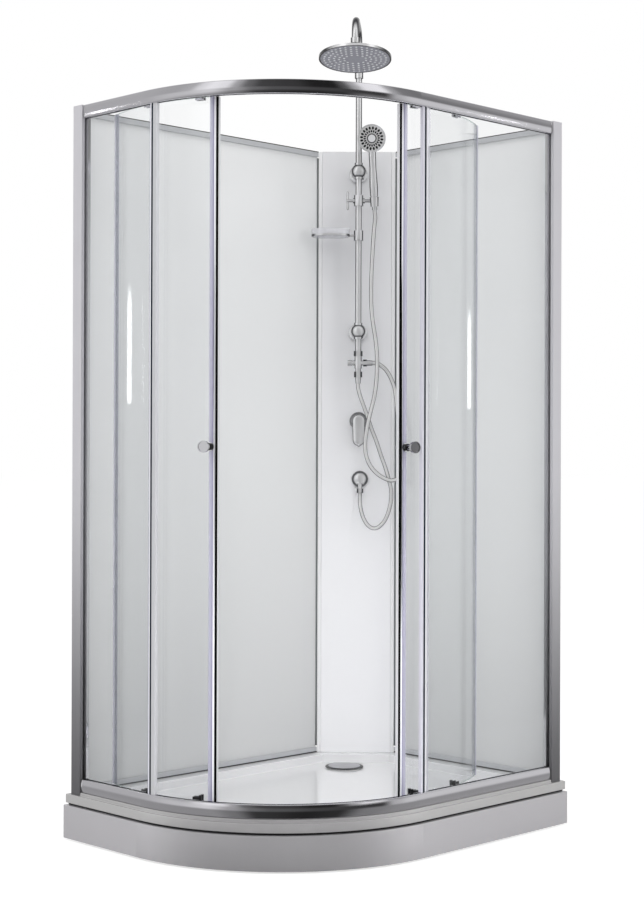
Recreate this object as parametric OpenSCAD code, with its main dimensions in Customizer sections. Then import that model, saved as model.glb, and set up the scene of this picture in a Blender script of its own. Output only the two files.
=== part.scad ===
// Quadrant shower cabin with two curved sliding doors, two back walls and a shower column.
// The origin is the middle of the tray's footprint on the floor. +X runs along the long wall,
// +Y towards the long wall, +Z up. The shower column stands in the corner at +X, +Y.

/* [Cabin] */
// Footprint along the long wall
cabin_length = 1190; // [1100:1300]
// Footprint along the short wall
cabin_depth = 880; // [800:960]
// Radius of the rounded front corner
front_radius = 550; // [500:600]
// Height of the tray's upper edge above the floor
tray_top = 130; // [110:180]
// Height of the frame and the walls above the tray
frame_height = 1954; // [1800:2000]
// How far the walls' top stays below the frame's top
wall_drop = 4; // [0:12]

/* [Tray and base] */
// Depth of the tray's rim, as seen from outside
rim_height = 25; // [18:45]
// How far the rim stands back from the apron's face
rim_setback = 4; // [2:8]
// Width of the rim around the basin
rim_width = 62; // [55:80]
// Depth of the basin below the rim
basin_depth = 25; // [15:40]
// Thickness of the rim's hollow shell
rim_shell = 6; // [4:8]
// Height of the groove between apron and rim
apron_groove = 6; // [3:8]
// Height of the raised lip that carries the bottom rail
lip_height = 9; // [5:14]
// Gap under the apron
apron_floor_gap = 5; // [2:12]
// Thickness of the apron
apron_thickness = 3; // [2:6]
// Side of the square tubes under the tray
frame_tube = 30; // [20:40]
// Radius of a foot's pad
foot_radius = 25; // [18:35]
// Radius of a foot's threaded stem
foot_stem_radius = 6; // [4:8]

/* [Drain] */
// Distance of the drain's centre from the corner panel
drain_distance = 134; // [120:220]
// Distance of the drain's centre to the left of the corner panel's middle
drain_across = 37; // [0:80]
// Radius of the drain's cover
drain_cover_radius = 60; // [45:70]
// Thickness of the drain's cover
drain_cover_thickness = 3.5; // [3:6]
// Radius of the hole in the tray
drain_hole_radius = 45; // [40:50]
// Outer radius of the waste outlet
waste_radius = 20; // [16:25]
// Length of the waste outlet outside the trap
waste_length = 32; // [24:36]
// Height of the waste outlet's middle above the floor
waste_height = 40; // [30:42]

/* [Rails and profiles] */
// Height of the top and bottom rails
rail_height = 38; // [32:45]
// How far the rails stand back from the outline
rail_setback = 15; // [10:20]
// Radius of the rails' gently rounded outer face
rail_face_radius = 60; // [45:120]
// Rounding of the two long edges of that face
rail_corner = 4; // [2:5]
// Reach of the rails' flat web from the outline
rail_web_reach = 66; // [60:75]
// Thickness of the rails' web and ledge
rail_wall = 3; // [2:4]
// Reach of the ledge that carries the wheels
ledge_reach = 50; // [46:54]
// Length of the caps on the rails' ends
rail_cap_length = 6; // [4:12]
// Depth of the wall profiles, out from the cabin's walls
profile_depth = 40; // [34:46]
// Width of the wall profiles
profile_width = 30; // [24:40]
// Setback of the wall profiles from the outline
profile_setback = 12; // [11:16]
// Width of the profiles' leg beside the walls
profile_leg = 14; // [10:16]
// Reach of the profiles' screw flange
flange_reach = 12; // [9:16]
// Thickness of the profiles' screw flange
flange_thickness = 4; // [3:5]
// Radius of the profiles' screw holes
wall_hole_radius = 2.5; // [2:3]
// Distance between two screw holes of a profile
wall_hole_spacing = 800; // [600:850]

/* [Walls] */
// Thickness of the walls with their frame
wall_depth = 20; // [16:30]
// Thickness of the walls' sheets
wall_sheet = 5; // [4:8]
// Height of the walls' header and base bars
wall_bar_height = 18; // [14:30]
// How much of each wall the corner panel cuts off
corner_cut = 176; // [150:220]
// Thickness of the corner panel
corner_panel_thickness = 10; // [6:14]
// Width of the strips beside the corner panel
corner_strip_width = 12; // [8:20]

/* [Glass] */
// Thickness of the glass
glass_thickness = 6; // [5:8]
// Setback of the fixed glass from the outline
fixed_glass_setback = 24; // [22:26]
// Setback of the door glass from the outline
door_glass_setback = 54; // [52:58]
// Depth to which glass sits in the rails
glass_seat = 21; // [16:24]
// How far the left fixed glass passes the start of the curve
left_glass_reach = 38; // [20:42]
// How far the right fixed glass stops short of the curve
right_glass_reach = 25.5; // [0:40]
// Width of the seals on the fixed glass
fixed_seal_width = 30; // [24:34]
// How far those seals pass the edge of the glass
fixed_seal_tip = 12; // [6:14]

/* [Doors] */
// Length of a door along its curve, seals included
door_length = 412; // [380:430]
// Gap from a closed door's seal to the line where the doors meet
door_meeting_gap = 1.5; // [1:4]
// Width of the magnetic seal
magnet_seal_width = 26; // [20:30]
// How far the magnetic seal passes the edge of the glass
magnet_seal_tip = 9; // [6:14]
// Width of the trailing seal
trailing_seal_width = 12; // [8:18]
// Gap from a door's glass to the rails' ledges
door_glass_gap = 4; // [3:8]
// Distance of a door's pole from the bend's centre, sideways
pole_side = 81; // [76:86]
// Distance of a door's pole from the bend's centre, towards the wall
pole_back = 240; // [230:250]
// Sideways offset of a closed door from the bend's own curve
closed_side = 15.7; // [12:18]
// Offset of a closed door towards the wall
closed_back = 10; // [8:12]
// Turn that the right door has made from closed to its place in the photograph
right_door_turn = 26.8; // [0:28]
// Turn that the left door has made from closed to its place in the photograph
left_door_turn = 13.3; // [0:22]
// Height of the handles above the floor
handle_height = 1117; // [950:1200]
// Distance of a handle from its door's leading edge
handle_inset = 24; // [22:32]
// Radius of the handles' discs
handle_radius = 16; // [12:22]
// How far a handle stands out from the glass
handle_reach = 50; // [26:52]

/* [Rollers] */
// Distance of the first roller from the leading edge
roller_inset = 57; // [45:70]
// Distance between a door's two rollers along the glass
roller_spacing = 177.4; // [150:200]
// Radius of the wheels
wheel_radius = 8.2; // [7:8.5]
// Width of the wheels
wheel_width = 5; // [4:6]
// Radius of the wheels' axles
axle_radius = 3; // [2.5:3.5]
// Width of the clamps that carry the wheels and the guides
clamp_width = 26; // [20:30]
// How far the clamps grip over the edge of the glass
clamp_grip = 6; // [4:8]
// Height of the hooked end of a bottom guide
guide_peak = 15; // [10:22]

/* [Shower column] */
// Radius of the riser pipe
riser_radius = 10; // [8:13]
// Distance of the riser from the corner panel
riser_offset = 70; // [60:80]
// Place of the riser across the corner panel
riser_across = 4; // [0:10]
// Height above the frame of the joint between riser and overhead arm
riser_joint_rise = 234; // [120:240]
// Bend radius of the overhead arm
arm_radius = 68; // [55:80]
// Reach of the overhead arm from the riser
arm_reach = 230; // [210:260]
// Height of the overhead arm's end above the frame
arm_end_height = 293; // [275:310]
// Radius of the overhead arm's tube
arm_tube_radius = 11; // [9:13]
// Turn of the overhead arm to the side
arm_turn = 4; // [0:10]
// Drop of the upper riser bracket below the frame's top
upper_bracket_drop = 79; // [50:110]
// Height of the lower riser bracket
lower_bracket_height = 1492; // [1460:1520]
// Radius of the brackets' balls
bracket_ball_radius = 23; // [18:26]
// Radius of the brackets' rosettes
bracket_rosette_radius = 29; // [25:35]
// Radius of the overhead shower
overhead_radius = 111.5; // [90:125]
// Tilt of the overhead shower towards the door
overhead_tilt = 9; // [0:15]
// Rings of nozzles on the overhead shower
overhead_rings = 5; // [3:6]

/* [Handset] */
// Drop of the slider below the frame's top
slider_drop = 174; // [150:190]
// Distance from the riser to the handset holder
holder_arm = 50; // [42:60]
// Distance of the holder from the corner panel
holder_offset = 80; // [76:86]
// Tilt of the handset away from the panel
handset_tilt = 12; // [5:20]
// Distance from the holder to the middle of the handset's head
handset_length = 200; // [175:210]
// Radius of the handset's head
handset_radius = 44.5; // [38:55]
// Slots in each of the handset's two rings
handset_slots = 20; // [12:24]

/* [Soap dish] */
// Drop of the soap dish's ring below the frame's top
dish_drop = 288; // [270:310]
// Distance from the riser to the middle of the soap dish
dish_across = 89; // [86:100]
// Half the length of the soap dish
dish_half_length = 62; // [50:64]
// Half the depth of the soap dish
dish_half_depth = 42; // [34:46]
// Height of the soap dish
dish_wall_height = 22; // [15:30]

/* [Mixer and diverter] */
// Height of the diverter
diverter_height = 1390; // [1380:1400]
// Height of the mixer
mixer_height = 1205; // [1150:1240]
// Place of the mixer across the corner panel
mixer_across = 7; // [0:12]
// Radius of the mixer's rosette
mixer_rosette_radius = 29; // [25:36]
// Half the width of the mixer's lever
lever_half_width = 21; // [16:25]
// Height of the wall outlet
outlet_height = 1017; // [1010:1025]
// Place of the wall outlet across the corner panel
outlet_across = 12; // [8:16]
// Radius of the wall outlet's cap
outlet_radius = 26; // [22:30]
// Radius of the hot and cold inlets, half-inch pipe thread
inlet_radius = 10.48; // [9:13]
// Length of the inlets
inlet_length = 25; // [18:30]

/* [Clearances] */
// Radial clearance of parts that turn or slide on a shaft
running_gap = 0.05; // [0.02:0.1]
// Clearance round parts that are fixed in a hole
fixed_gap = 0.05; // [0.02:0.2]
// Clearance between a handset or hose and its neighbour
soft_gap = 0.3; // [0.2:0.5]

/* [Hidden] */
$fn = 48;
frame_top = tray_top + frame_height;
wall_top = frame_top - wall_drop;
bend = [-cabin_length / 2 + front_radius, -cabin_depth / 2 + front_radius];
back_y = cabin_depth / 2;
side_x = cabin_length / 2;
sill = tray_top + lip_height;
tray_under = tray_top - rim_height - apron_groove;
riser_joint_height = frame_top + riser_joint_rise;
upper_bracket_height = frame_top - upper_bracket_drop;
slider_height = frame_top - slider_drop;
dish_height = frame_top - dish_drop;
basin_floor = tray_top - basin_depth;
left_run = back_y - wall_depth - profile_depth - bend[1];
right_run = side_x - wall_depth - profile_depth - bend[0];
// how far the rails' rounded face has drawn back where its corners begin
rail_inset = rail_face_radius - sqrt(pow(rail_face_radius, 2) - pow(rail_height / 2 - rail_corner, 2));
glass_bottom = sill + rail_height - glass_seat;
glass_top = frame_top - rail_height + glass_seat - 1;
slot_shift = left_glass_reach * left_glass_reach / (2 * front_radius) + 0.6;
slot_width = glass_thickness + slot_shift + 1;
slot_setback = fixed_glass_setback - slot_shift;
panel_mid = [side_x - wall_depth - corner_cut / 2, back_y - wall_depth - corner_cut / 2];
panel_half = corner_cut / sqrt(2);
drain_at = [
    panel_mid[0] - (drain_distance + drain_across) / sqrt(2),
    panel_mid[1] - (drain_distance - drain_across) / sqrt(2)
];
frame_inset = rim_width + frame_tube / 2;
foot_places = [
    [-side_x + frame_inset, back_y - frame_inset],
    [side_x - frame_inset, back_y - frame_inset],
    [side_x - frame_inset, -back_y + frame_inset],
    [-side_x + frame_inset, bend[1]],
    [bend[0], -back_y + frame_inset],
    [0, 0]
];

// A door's own radii, and the angles of what it carries, from the line where the doors meet.
door_outer = front_radius - door_glass_setback;
door_inner = door_outer - glass_thickness;
door_middle = door_outer - glass_thickness / 2;
function along(distance) = distance / door_middle * 180 / PI;
door_start = along(door_meeting_gap);
door_end = along(door_meeting_gap + door_length);
ledge_drop = 23;
door_bottom = sill + ledge_drop + rail_wall + door_glass_gap;
door_top = frame_top - ledge_drop - rail_wall - door_glass_gap - 1.5;
roller_angles = [
    along(door_meeting_gap + roller_inset),
    along(door_meeting_gap + roller_inset + roller_spacing)
];
// The pole that each door swings about, from the bend's centre, and the closed door's small offset.
pole = [pole_side, pole_back];
closed_shift = [-closed_side, closed_back];
closed_yaw = 2.1;
wheel_height = frame_top - ledge_drop + wheel_radius + 0.4;
wheel_track = front_radius - 47;
plate_outer = door_inner - 0.3;
arm_plate = 4;

// Round-number route of the handset's hose: across the panel, out of it, and height.
handset_hose_radius = 6.75;
supply_hose_radius = 6.5;
handset_route = [
    [71, -70, 1386], [92, -70, 1369], [108, -68, 1344], [121, -67, 1310],
    [127, -66, 1270], [131, -66, 1224], [139, -66, 1172], [147, -66, 1124], [150, -68, 1080],
    [146, -72, 1044], [132, -78, 1022], [112, -84, 1014], [90, -88, 1020], [65, -92, 1036],
    [42, -96, 1063], [29, -98, 1098], [27, -100, 1140], [34, -102, 1190], [44, -102, 1235],
    [55, -102, 1280], [62, -102, 1334], [64, -102, 1398], [59, -100, 1462], [50, -96, 1520],
    [45, -92, 1578], [45, -86, 1655], [49, -77, 1745], [53, -70, 1810]
];
supply_route = [
    [12, -22, 952], [14, -28, 925], [21, -38, 897], [34, -45, 873], [51, -50, 860],
    [71, -52, 863], [91, -54, 884], [104, -56, 915], [111, -58, 950], [111, -60, 983],
    [104, -62, 1015], [93, -64, 1053], [78, -66, 1095], [64, -68, 1137], [48, -70, 1178],
    [35, -72, 1217], [23, -72, 1250], [12, -71, 1280], [5, -70, 1306]
];
holder_at = [riser_across + holder_arm, -holder_offset, slider_height - 4];
tail_drop = 26;
handset_lean = 3;
function below_holder(drop) = [
    holder_at[0] + cos(handset_tilt) * sin(handset_lean) * drop,
    holder_at[1] + sin(handset_tilt) * drop,
    holder_at[2] - cos(handset_tilt) * cos(handset_lean) * drop
];

tray();
apron_panel();
support_frame();
levelling_feet();
drain_cover();
drain_trap();
left_wall_profile();
right_wall_profile();
top_rail();
bottom_rail();
frame_trim();
left_fixed_glass();
right_fixed_glass();
fixed_glass_seals();
long_wall_sheet();
short_wall_sheet();
wall_bars();
corner_panel();
corner_strips();
right_door_glass();
right_magnet_seal();
right_trailing_seal();
right_handle();
right_handle_rings();
right_roller_housings();
right_guides();
right_wheel_front();
right_wheel_rear();
left_door_glass();
left_magnet_seal();
left_trailing_seal();
left_handle();
left_handle_rings();
left_roller_housings();
left_guides();
left_wheel_front();
left_wheel_rear();
riser_pipe();
overhead_arm();
arm_joint();
overhead_shower();
overhead_face();
riser_brackets();
bracket_screws();
slider();
slider_knob();
handset_holder();
handset();
handset_face();
soap_dish_ring();
soap_dish();
diverter();
diverter_knob();
mixer_rosette();
mixer_cartridge();
mixer_lever();
mixer_valve();
wall_outlet();
handset_hose();
supply_hose();

// Shared outlines and placements

// The cabin's plan, drawn in by a distance from its outer edge.
module outline(inset) {
    intersection() {
        translate(bend) circle(r = front_radius - inset, $fn = 96);
        translate([-side_x, -back_y]) square(front_radius);
    }
    translate([bend[0], -back_y + inset]) square([side_x - inset - bend[0], cabin_depth - 2 * inset]);
    translate([-side_x + inset, bend[1]]) square([cabin_length - 2 * inset, back_y - inset - bend[1]]);
}

// Sweeps a section along the left straight, the bend and the right straight of the front.
// The section's x is the distance from the bend's centre and its y is the height.
module along_front(left, right) {
    translate([bend[0], bend[1], 0]) rotate([0, 0, 180]) rotate_extrude(angle = 90, $fn = 96) children();
    translate([bend[0], bend[1], 0]) rotate([90, 0, 180]) linear_extrude(height = left) children();
    translate([bend[0] + right, bend[1], 0]) rotate([90, 0, -90]) linear_extrude(height = right) children();
}

// Puts its children on the corner panel: x across it, -y out into the cabin.
module at_panel() {
    translate([panel_mid[0], panel_mid[1], 0]) rotate([0, 0, -45]) children();
}

// A box between two heights that spans two distances from the bend's centre.
module band(inset, reach, low, high) {
    translate([front_radius - reach, low]) square([reach - inset, high - low]);
}

// Turns its children from a standing cylinder to one that points into the cabin.
module outwards() {
    rotate([90, 0, 0]) children();
}

// Tray and base

module tray() color("white") difference() {
    union() {
        translate([0, 0, tray_top - rim_height]) linear_extrude(height = rim_height) outline(rim_setback);
        translate([0, 0, tray_under]) linear_extrude(height = apron_groove) outline(rim_setback + 6);
        along_front(left_run, right_run) band(rail_setback - 2, rim_width - 4, tray_top - 1, sill);
    }
    translate([0, 0, basin_floor]) linear_extrude(height = basin_depth + 1) basin_plan();
    translate([0, 0, tray_under - 1]) linear_extrude(height = rim_height + apron_groove - rim_shell + 1)
        difference() {
            outline(rim_setback + 6 + rim_shell);
            outline(rim_width - rim_shell);
        }
    translate([drain_at[0], drain_at[1], tray_under - 1]) cylinder(r = drain_hole_radius, h = 40);
}

module basin_plan() difference() {
    outline(rim_width);
    translate(panel_mid) rotate(-45) translate([-300, -rim_width + wall_depth]) square([600, 400]);
}

module apron_panel() color("lightgray") along_front(back_y - bend[1], side_x - bend[0]) {
    union() {
        band(0, apron_thickness, apron_floor_gap, tray_under);
        band(0, rim_setback + 14, tray_under - apron_thickness, tray_under);
    }
}

module support_frame() color("dimgray") {
    low = tray_under - frame_tube;
    half = frame_tube / 2;
    union() {
        translate([-side_x + rim_width, back_y - rim_width - frame_tube, low])
            cube([cabin_length - 2 * rim_width, frame_tube, frame_tube]);
        translate([bend[0] - half, -back_y + rim_width, low])
            cube([side_x - rim_width - bend[0] + half, frame_tube, frame_tube]);
        translate([-side_x + rim_width, bend[1] - half, low])
            cube([frame_tube, back_y - rim_width - bend[1] + half, frame_tube]);
        translate([side_x - rim_width - frame_tube, -back_y + rim_width, low])
            cube([frame_tube, cabin_depth - 2 * rim_width, frame_tube]);
        translate([-side_x + frame_inset + bend[1], -half, low])
            cube([cabin_length - frame_inset - bend[1] - rim_width, frame_tube, frame_tube]);
        translate([-side_x + frame_inset, bend[1], low]) rotate([0, 0, -45]) translate([0, -half, 0])
            cube([(front_radius - frame_inset) * sqrt(2), frame_tube, frame_tube]);
    }
}

module levelling_feet() color("silver") for (place = foot_places) translate([place[0], place[1], 0]) {
    union() {
        cylinder(r = foot_radius, h = 6);
        translate([0, 0, 6]) cylinder(r1 = foot_radius - 3, r2 = foot_stem_radius + 3, h = 6);
        cylinder(r = foot_stem_radius, h = tray_under - frame_tube);
        translate([0, 0, tray_under - frame_tube - 9]) cylinder(r = foot_stem_radius + 5, h = 9, $fn = 6);
    }
}

module drain_cover() color("silver") translate([drain_at[0], drain_at[1], basin_floor + 2]) {
    pad = 1.5;
    difference() {
        union() {
            translate([0, 0, pad]) cylinder(r = drain_cover_radius, h = drain_cover_thickness - 2);
            translate([0, 0, pad + drain_cover_thickness - 2])
                cylinder(r1 = drain_cover_radius, r2 = drain_cover_radius - 12, h = 2);
            for (turn = [0:120:240]) rotate([0, 0, turn]) translate([drain_hole_radius + 4, 0, 0])
                cylinder(r = 3, h = pad + 1, $fn = 16);
            translate([0, 0, -16]) cylinder(r = drain_hole_radius - 11, h = 17 + pad);
        }
        translate([0, 0, -17]) cylinder(r = drain_hole_radius - 14, h = 17 + pad);
    }
}

module drain_trap() color("gainsboro") translate([drain_at[0], drain_at[1], 0]) {
    bore = drain_hole_radius - 7;
    difference() {
        union() {
            cylinder_between(drain_hole_radius + 7, waste_height - waste_radius - 3, tray_under);
            cylinder_between(drain_hole_radius - fixed_gap, tray_under, basin_floor);
            translate([0, 0, basin_floor]) cylinder(r = drain_hole_radius + 10, h = 2);
            translate([0, 0, waste_height]) rotate([-90, 0, 0]) {
                cylinder(r = waste_radius + 3, h = drain_hole_radius + 9);
                cylinder(r = waste_radius, h = drain_hole_radius + 9 + waste_length);
            }
        }
        translate([0, 0, waste_height - waste_radius + 3]) cylinder(r = bore, h = 100);
        translate([0, 0, waste_height]) rotate([-90, 0, 0])
            cylinder(r = waste_radius - 3, h = drain_hole_radius + 10 + waste_length);
    }
}

module cylinder_between(radius, low, high) {
    translate([0, 0, low]) cylinder(r = radius, h = high - low);
}

// Wall profiles, rails and glass

// A standing profile with a slot for glass, in front of the wall, for the left end. Its leg passes
// the end of the wall and has a flange with screw holes.
module wall_profile() difference() {
    inner = profile_setback + profile_width;
    union() {
        translate([profile_setback, -wall_depth - profile_depth, tray_top])
            cube([profile_width, profile_depth, frame_height]);
        translate([inner - profile_leg, -wall_depth - 1, tray_top])
            cube([profile_leg, wall_depth + 1, frame_height]);
        translate([inner - 1, -flange_thickness, tray_top])
            cube([flange_reach + 1, flange_thickness, frame_height]);
    }
    translate([slot_setback, -wall_depth - profile_depth - 1, tray_top - 1])
        cube([slot_width, profile_depth - 7, frame_height + 2]);
    for (step = [-1:1])
        translate([inner + flange_reach / 2, 1, tray_top + frame_height / 2 + step * wall_hole_spacing])
            outwards() cylinder(r = wall_hole_radius, h = flange_thickness + 2, $fn = 24);
}

module to_left_end() {
    translate([-side_x, back_y, 0]) children();
}

module to_right_end() {
    translate([side_x, -back_y, 0]) rotate([0, 0, -90]) mirror([1, 0, 0]) children();
}

module left_wall_profile() color("silver") to_left_end() wall_profile();

module right_wall_profile() color("silver") to_right_end() wall_profile();

module profile_strip() {
    translate([profile_setback + profile_width - 9, -wall_depth - profile_depth - 1.5, sill + rail_height])
        cube([9, 1.5, frame_top - sill - 2 * rail_height]);
}

// The rail's section for the top: a half-round bar with a slot for the fixed glass, a flat web
// and the ledge that the wheels run on.
module rail_section() {
    half = rail_height / 2;
    head_reach = rail_setback + half;
    difference() {
        union() {
            intersection() {
                translate([front_radius - rail_setback - rail_face_radius, frame_top - half])
                    circle(r = rail_face_radius, $fn = 96);
                union() {
                    translate([front_radius - head_reach, frame_top - rail_height])
                        square([half - rail_inset - rail_corner, rail_height]);
                    translate([front_radius - head_reach, frame_top - rail_height + rail_corner])
                        square([half, rail_height - 2 * rail_corner]);
                    for (low = [frame_top - rail_height, frame_top - 2 * rail_corner])
                        translate([front_radius - rail_setback - rail_inset - rail_corner, low + rail_corner])
                            circle(r = rail_corner, $fn = 48);
                }
            }
            band(head_reach, rail_web_reach, frame_top - rail_wall, frame_top);
            band(head_reach, ledge_reach, frame_top - ledge_drop - rail_wall, frame_top - ledge_drop);
        }
        translate([front_radius - slot_setback - slot_width, frame_top - rail_height - 1])
            square([slot_width, glass_seat + 1]);
    }
}

module bottom_rail_section() {
    translate([0, sill + frame_top]) mirror([0, 1]) rail_section();
}

module top_rail() color("silver")
    along_front(left_run - rail_cap_length, right_run - rail_cap_length) rail_section();

module bottom_rail() color("silver")
    along_front(left_run - rail_cap_length, right_run - rail_cap_length) bottom_rail_section();

// The last few millimetres of each rail, in bright metal.
module end_caps() {
    translate([bend[0], bend[1] + left_run - rail_cap_length, 0]) rotate([90, 0, 180])
        linear_extrude(height = rail_cap_length) children();
    translate([bend[0] + right_run, bend[1], 0]) rotate([90, 0, -90])
        linear_extrude(height = rail_cap_length) children();
}

// The bright trim: a strip down each wall profile and the caps on the rails' ends.
module frame_trim() color("whitesmoke") {
    to_left_end() profile_strip();
    to_right_end() profile_strip();
    end_caps() rail_section();
    end_caps() bottom_rail_section();
}

module left_fixed_glass() color("lightcyan", 0.4)
    translate([-side_x + fixed_glass_setback, bend[1] - left_glass_reach, glass_bottom])
        cube([glass_thickness, back_y - wall_depth - 10 - bend[1] + left_glass_reach,
            glass_top - glass_bottom]);

module right_fixed_glass() color("lightcyan", 0.4)
    translate([bend[0] + right_glass_reach, -back_y + fixed_glass_setback, glass_bottom])
        cube([side_x - wall_depth - 10 - bend[0] - right_glass_reach, glass_thickness,
            glass_top - glass_bottom]);

module fixed_glass_seals() color("lavender") {
    wall = 2;
    wide = glass_thickness + 2 * wall;
    height = frame_top - sill - 2 * rail_height;
    difference() {
        translate([-side_x + fixed_glass_setback - wall, bend[1] - left_glass_reach - fixed_seal_tip,
                sill + rail_height])
            cube([wide, fixed_seal_width, height]);
        left_fixed_glass();
    }
    difference() {
        translate([bend[0] + right_glass_reach - fixed_seal_tip, -back_y + fixed_glass_setback - wall,
                sill + rail_height])
            cube([fixed_seal_width, wide, height]);
        right_fixed_glass();
    }
}

// Back walls and corner panel

// The long wall runs along X from the left profile to the corner panel.
long_start = -side_x + profile_setback + profile_width + flange_reach;
long_end = side_x - wall_depth - corner_cut - 0.5;
short_start = -back_y + profile_setback + profile_width + flange_reach;
short_end = back_y - wall_depth - corner_cut - 0.5;
bar_seat = 10;

module wall_sheet_of(length) {
    translate([0, wall_depth / 2 - wall_sheet / 2, tray_top + wall_bar_height - bar_seat])
        cube([length, wall_sheet, wall_top - tray_top - 2 * wall_bar_height + 2 * bar_seat]);
}

module wall_bars_of(length) difference() {
    union() {
        translate([0, 0, tray_top]) cube([length, wall_depth, wall_bar_height]);
        translate([0, 0, wall_top - wall_bar_height]) cube([length, wall_depth, wall_bar_height]);
    }
    translate([-1, 0, 0]) wall_sheet_of(length + 2);
}

module on_long_wall() {
    translate([long_start, back_y - wall_depth, 0]) children();
}

module on_short_wall() {
    translate([side_x - wall_depth, short_end, 0]) rotate([0, 0, -90]) children();
}

module long_wall_sheet() color("white") on_long_wall() wall_sheet_of(long_end - long_start);

module short_wall_sheet() color("white") on_short_wall() wall_sheet_of(short_end - short_start);

module wall_bars() color("silver") {
    on_long_wall() wall_bars_of(long_end - long_start);
    on_short_wall() wall_bars_of(short_end - short_start);
}

module corner_panel() color("white") at_panel() difference() {
    half = panel_half - corner_strip_width;
    translate([-half, 0, tray_top]) cube([2 * half, corner_panel_thickness, wall_top - tray_top]);
    translate([mixer_across, corner_panel_thickness + 1, mixer_height])
        outwards() cylinder(r = 18 + fixed_gap, h = corner_panel_thickness + 2);
    translate([outlet_across, corner_panel_thickness + 1, outlet_height])
        outwards() cylinder(r = 10 + fixed_gap, h = corner_panel_thickness + 2);
}

module corner_strips() color("white") at_panel() for (side = [0, 1]) mirror([side, 0, 0]) {
    translate([panel_half - corner_strip_width, -3, tray_top])
        cube([corner_strip_width, corner_panel_thickness + 8, wall_top - tray_top]);
}

// Doors

// Moves a door from the bend's centre to its place in the photograph, turned about its pole.
module right_door_place(turn) {
    translate([bend[0] + pole[0], bend[1] + pole[1], 0]) rotate([0, 0, turn])
        translate([closed_shift[0] - pole[0], closed_shift[1] - pole[1], 0])
            rotate([0, 0, closed_yaw + 225]) children();
}

module left_door_place(turn) {
    translate([bend[0], bend[1], 0]) mirror([1, -1, 0]) translate([-bend[0], -bend[1], 0])
        right_door_place(turn) children();
}

module right_door() {
    right_door_place(right_door_turn) children();
}

module left_door() {
    left_door_place(left_door_turn) children();
}

// A curved upright strip between two distances along the door and two radii.
module door_strip(start, end, inner, outer, low, high) {
    rotate([0, 0, along(door_meeting_gap + start)])
        rotate_extrude(angle = along(end - start), $fn = 96)
            translate([inner, low]) square([outer - inner, high - low]);
}

module glass_of_door() difference() {
    door_strip(magnet_seal_tip, door_length - 3, door_inner, door_outer, door_bottom, door_top);
    at_handle() translate([door_inner - 5, 0, 0]) rotate([0, 90, 0]) cylinder(r = 5, h = 20);
}

module magnet_seal_of_door() difference() {
    door_strip(0, magnet_seal_width, door_inner - 3, door_outer + 3, door_bottom, door_top);
    door_strip(magnet_seal_tip, magnet_seal_width + 1, door_inner, door_outer, door_bottom - 1, door_top + 1);
    at_handle() translate([door_inner - 10, 0, 0]) rotate([0, 90, 0]) cylinder(r = 12, h = 30);
}

module trailing_seal_of_door() difference() {
    door_strip(door_length - trailing_seal_width, door_length, door_inner - 2, door_outer + 2,
        door_bottom, door_top);
    door_strip(door_length - trailing_seal_width - 1, door_length - 3, door_inner, door_outer,
        door_bottom - 1, door_top + 1);
}

module at_handle() {
    rotate([0, 0, along(door_meeting_gap + handle_inset)]) translate([0, 0, handle_height]) children();
}

module handle_of_door() at_handle() difference() {
    union() {
        translate([door_inner - 22, 0, 0]) rotate([0, 90, 0]) cylinder(r = handle_radius - 2, h = 9);
        translate([door_inner - 14, 0, 0]) rotate([0, 90, 0]) cylinder(r = 7, h = 12);
        translate([door_inner - 3, 0, 0]) rotate([0, 90, 0]) cylinder(r = 4.95, h = glass_thickness + 6);
        translate([door_outer + 2, 0, 0]) rotate([0, 90, 0]) cylinder(r = 7.5, h = handle_reach - 13);
        translate([door_outer + handle_reach - 12, 0, 0]) rotate([0, 90, 0])
            cylinder(r1 = handle_radius - 3, r2 = handle_radius, h = 4);
        translate([door_outer + handle_reach - 8, 0, 0]) rotate([0, 90, 0])
            cylinder(r = handle_radius, h = 8);
    }
    translate([door_outer + handle_reach - 1.5, 0, 0]) rotate([0, 90, 0])
        cylinder(r = handle_radius - 3, h = 3);
}

module handle_rings_of_door() at_handle() {
    ring(door_outer + 0.3, 1.5, 5.2, 9);
    ring(door_outer + 10, 3, 7.55, 10);
    ring(door_inner - 1.9, 1.6, 5.2, 9);
}

module ring(start, length, inner, outer) {
    difference() {
        translate([start, 0, 0]) rotate([0, 90, 0]) cylinder(r = outer, h = length);
        translate([start - 1, 0, 0]) rotate([0, 90, 0]) cylinder(r = inner, h = length + 2);
    }
}

// One wheel carrier: a clamp over the glass's top edge, a plate up past the ledge and the axle.
module wheel_carrier() {
    union() {
        translate([door_inner - 6, -clamp_width / 2, door_top - clamp_grip])
            cube([glass_thickness + 8.5, clamp_width, clamp_grip + 2.5]);
        translate([plate_outer - 5, -clamp_width / 2 + 4, door_top - clamp_grip])
            cube([arm_plate, clamp_width - 8, wheel_height + 7 - door_top + clamp_grip]);
        translate([plate_outer - 2, 0, wheel_height]) rotate([0, 90, 0])
            cylinder(r = axle_radius, h = wheel_track + wheel_width / 2 + 1.5 - plate_outer + 2);
        translate([wheel_track + wheel_width / 2 + 0.3, 0, wheel_height]) rotate([0, 90, 0])
            cylinder(r = axle_radius + 1.5, h = 1.5);
        translate([plate_outer - 2, 0, wheel_height]) rotate([0, 90, 0])
            cylinder(r = axle_radius + 1.5, h = wheel_track - wheel_width / 2 - 0.3 - plate_outer + 2);
    }
}

// The glass with its clearance, which the clamps leave free.
module glass_seat_of_door() {
    door_strip(-5, door_length + 5, door_inner - fixed_gap, door_outer + fixed_gap,
        door_bottom - fixed_gap, door_top + fixed_gap);
}

module roller_housings_of_door() difference() {
    for (angle = roller_angles) rotate([0, 0, angle]) wheel_carrier();
    glass_seat_of_door();
}

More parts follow.
